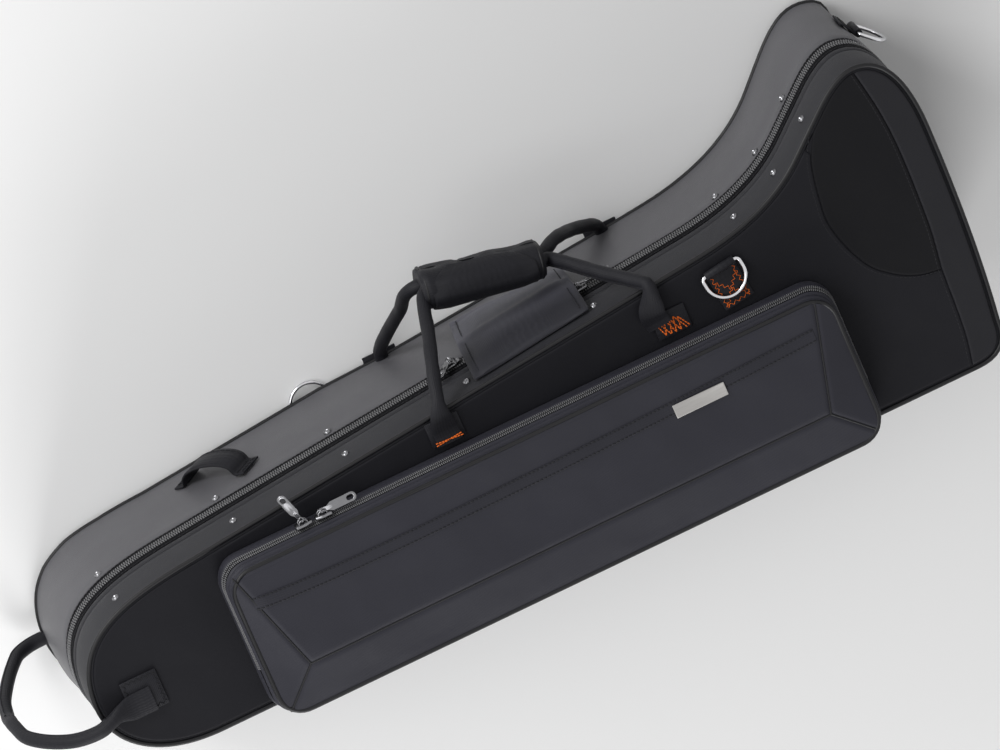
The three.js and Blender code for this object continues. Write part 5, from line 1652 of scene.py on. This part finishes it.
class CASE_OT_pocket(bpy.types.Operator):
    """Front pocket with its creased face, zip, piping and side walls"""
    bl_idname = "case.pocket"
    bl_label = "Front pocket"

    def execute(self, context):
        sizes = context.scene.case_sizes
        self.walls()
        for name, body, side, node in (("pocket_zip_lower", "lid", -1, "pocket_zip_gusset_chain"),
                                       ("pocket_zip_upper", "pocket_flap", 1, "pocket_zip_panel_chain")):
            self.chain(name, body, side, node, sizes.pocket_pitch)
        edge = lambda rise: POCKET_EDGE - 0.0008 + face_tilt(rise)
        cord = tube_mesh(even_steps(pocket_wall(1.0, -0.0004, edge), 0.005), sizes.piping_radius, 12, True)
        piece("pocket_cord", outward(cord), "piping", "pocket_flap", ["pocket_piping"])
        self.front()
        welts = bmesh.new()
        for a, b in pocket_seams():
            line = [on_pocket(*a.lerp(b, i / 24), 0.0003) for i in range(25)]
            merge(welts, tube_mesh(line, 0.0009, 8))
        piece("pocket_welts", welts, "piping", "pocket_flap")
        self.ribbon()
        return {"FINISHED"}

    def walls(self):
        """The side under the zip, and the folded skirt over it."""
        edge = lambda rise: POCKET_EDGE - 0.0016 + face_tilt(rise)
        gusset = [(-0.0012, FRONT + 0.0004), (-0.0002, FRONT + 0.0010)]
        gusset += bulged(FRONT + 0.002, 0.2602, 0.0014, 6) + [(-0.0016, 0.2612)]
        side = rings_mesh([pocket_wall(0, offset, height) for offset, height in gusset])
        piece("pocket_side", outward(side, POCKET_MIDDLE), "pocket_fabric", "lid", ["pocket_gusset"],
              slot="front_fabric")
        folds = [(0.34, -0.0014, 0), (0.35, 0, 0.02), (0.42, 0.0011, 0.12), (0.52, 0.0009, 0.24),
                 (0.56, -0.0006, 0.30), (0.60, 0.0006, 0.36), (0.70, 0.0013, 0.52), (0.78, 0.0005, 0.64),
                 (0.81, -0.0008, 0.69), (0.84, 0.0004, 0.74), (0.92, 0.0008, 0.88), (1.0, -0.0004, 1.0)]
        skirt = rings_mesh([
            pocket_wall(share, out, lambda rise, climb=climb: 0.2686 + (edge(rise) - 0.2686) * climb)
            for share, out, climb in folds])
        piece("pocket_skirt", outward(skirt, POCKET_MIDDLE), "pocket_fabric", "pocket_flap", ["pocket_panel"],
              slot="front_fabric")

    def chain(self, name, body, side, node, pitch):
        """One half of the pocket's zip: its tape, and its teeth up to the hinge side."""
        middle = pocket_wall(0.16, 0, POCKET_ZIP)
        near, far = POCKET_ZIP + side * 0.00015, POCKET_ZIP + side * 0.0037
        share = 0.36 if side > 0 else 0.0
        tape = rings_mesh([pocket_wall(*row) for row in (
            (0.16, -0.0030, near + side * 0.001), (0.16, -0.0026, near), (0.16, -0.0004, near),
            (0.16 + (share - 0.16) * 0.1, -0.0001, near + side * 0.0004), (share, -0.0006, far))])
        piece(name + "_tape", outward(tape, POCKET_MIDDLE), "tape", body, [node], slot="webbing")
        far_ring = pocket_wall(share, 0, far)
        reach = [0.0]
        for i in range(len(middle)):
            reach.append(reach[-1] + (middle[(i + 1) % len(middle)] - middle[i]).length)

        def spot(distance):
            i = next(k for k in range(len(middle)) if reach[k + 1] >= distance)
            share = (distance - reach[i]) / (reach[i + 1] - reach[i])
            j = (i + 1) % len(middle)
            point = middle[i].lerp(middle[j], share)
            rise_way = (far_ring[i].lerp(far_ring[j], share) - point).normalized() * side
            out = loop_rim(middle, i)[1].lerp(loop_rim(middle, j)[1], share).normalized()
            onward = Vector((-out.y, out.x, 0))
            return point, onward, rise_way, onward.cross(rise_way)

        inside = [i for i, point in enumerate(middle) if HINGE_Y - point.y >= 0.043]
        teeth = zip_row(spot, reach[inside[0]], reach[inside[-1]], pitch, 0.0034, side, 0.0011)
        piece(name + "_teeth", teeth, "coil", body, [node])

    def front(self):
        """The creased front, with a short edge turned down all round."""
        inset = 0.0014
        columns, rows = 300, 96
        low, high = FACE_RISE[0] + inset, FACE_RISE[1] - inset
        bell, tail = FACE_ALONG[0] + inset, FACE_ALONG[1] - inset
        corner = POCKET_CORNER - inset

        def place(u, v):
            rise = low + (high - low) * (0.5 - 0.5 * math.cos(math.pi * v))
            near = min(rise - low, high - rise)
            cut = corner - math.sqrt(max(0, corner ** 2 - (corner - near) ** 2)) if near < corner else 0
            across = 0.5 - 0.5 * math.cos(math.pi * u)
            across = 0.35 * across + 0.65 * u
            along = bell + cut + (tail - bell - 2 * cut) * across
            return on_pocket(along, rise, 0)

        face = grid_mesh(columns, rows, place, (tail - bell, high - low))
        edges = [edge for edge in face.edges if edge.is_boundary]
        grown = bmesh.ops.extrude_edge_only(face, edges=edges)["geom"]
        bmesh.ops.translate(face, verts=verts_of(grown), vec=UP * -0.0022)
        outward(face, POCKET_MIDDLE)
        flat = face.loops.layers.uv.verify()
        for quad in face.faces:
            for loop in quad.loops:
                loop[flat].uv = loop.vert.co.xy
        piece("pocket_front", face, "pocket_fabric", "pocket_flap", ["pocket_panel"], slot="front_fabric")

    def ribbon(self):
        """The ribbon that is sewn across the front."""
        middle = []
        for i in range(90):
            share = i / 89
            along = 0.7600 + (0.181 - 0.7600) * share
            rise = 0.107 - 0.0094 * share + 0.0164 * share ** 2 + 0.0054 * math.exp(-10 * share)
            middle.append((along, rise))

        def band(u, v):
            along, rise = middle[round(v * (len(middle) - 1))]
            turn = 2 * math.pi * u
            wide = squared(math.cos(turn), 0.3) * 0.0066
            return on_pocket(along, rise + wide, 0.0003 + 0.0004 * math.sin(turn))

        bm = grid_mesh(16, len(middle) - 1, band, (0.034, 0.57), True, False, True)
        piece("pocket_ribbon", outward(bm), "ribbon", "pocket_flap", slot="webbing")
        rows = bmesh.new()
        for side in (-0.0054, 0.0054):
            line = [on_pocket(along, rise + side, 0.0008) for along, rise in middle]
            merge(rows, stitch_mesh(line, 0.0006))
        stitching("pocket_ribbon_stitches", rows, "pocket_flap")


class CASE_OT_plate(bpy.types.Operator):
    """Blank plate on the pocket"""
    bl_idname = "case.plate"
    bl_label = "Blank plate"

    def execute(self, context):
        along, rise = 0.303, 0.105
        corners = [pocket_height(along + x, rise + y) for x in (-0.026, 0.026) for y in (-0.006, 0.006)]
        height = POCKET_EDGE + max(max(corners), pocket_height(along, rise)) + 0.0012
        place = Matrix.Translation(at(along, rise, height))
        bm = block_mesh((0.053, 0.0135, 0.0014), place, 0.0005, 3)
        lid_faces = [face for face in bm.faces if face.normal.z > 0.9 and face.calc_area() > 1e-4]
        bmesh.ops.inset_region(bm, faces=lid_faces, thickness=0.0012, depth=-0.0003)
        box_uvs(bm)
        piece("blank_plate", bm, "plate", "pocket_flap", ["name_plate"])
        return {"FINISHED"}


class CASE_PT_panel(bpy.types.Panel):
    """Lists the case's operators, sizes and colours"""
    bl_idname = "CASE_PT_panel"
    bl_label = "Trombone case"
    bl_space_type = "VIEW_3D"
    bl_region_type = "UI"
    bl_category = "Case"

    def draw(self, context):
        for maker in OPERATORS:
            self.layout.operator(maker.bl_idname)
        for group in (context.scene.case_sizes, context.scene.case_colours):
            box = self.layout.box()
            for name in group.bl_rna.properties.keys():
                if name not in {"rna_type", "name"}:
                    box.prop(group, name)


OPERATORS = (
    CASE_OT_stage, CASE_OT_covers, CASE_OT_piping, CASE_OT_main_zip, CASE_OT_hinge, CASE_OT_rivets,
    CASE_OT_liners, CASE_OT_straps, CASE_OT_handles, CASE_OT_grip, CASE_OT_tail_handle, CASE_OT_side_loop,
    CASE_OT_rings, CASE_OT_flap, CASE_OT_sliders, CASE_OT_pocket, CASE_OT_plate,
)
CLASSES = (CaseSizes, CaseColours, *OPERATORS, CASE_PT_panel)


def register():
    """Adds the case's properties, operators and panel."""
    for added in CLASSES:
        bpy.utils.register_class(added)
    bpy.types.Scene.case_sizes = bpy.props.PointerProperty(type=CaseSizes)
    bpy.types.Scene.case_colours = bpy.props.PointerProperty(type=CaseColours)


def unregister():
    """Takes them away again."""
    del bpy.types.Scene.case_colours
    del bpy.types.Scene.case_sizes
    for added in reversed(CLASSES):
        bpy.utils.unregister_class(added)


def main():
    """Builds the whole case."""
    register()
    for maker in OPERATORS:
        group, name = maker.bl_idname.split(".")
        getattr(getattr(bpy.ops, group), name)()


if __name__ == "__main__":
    main()
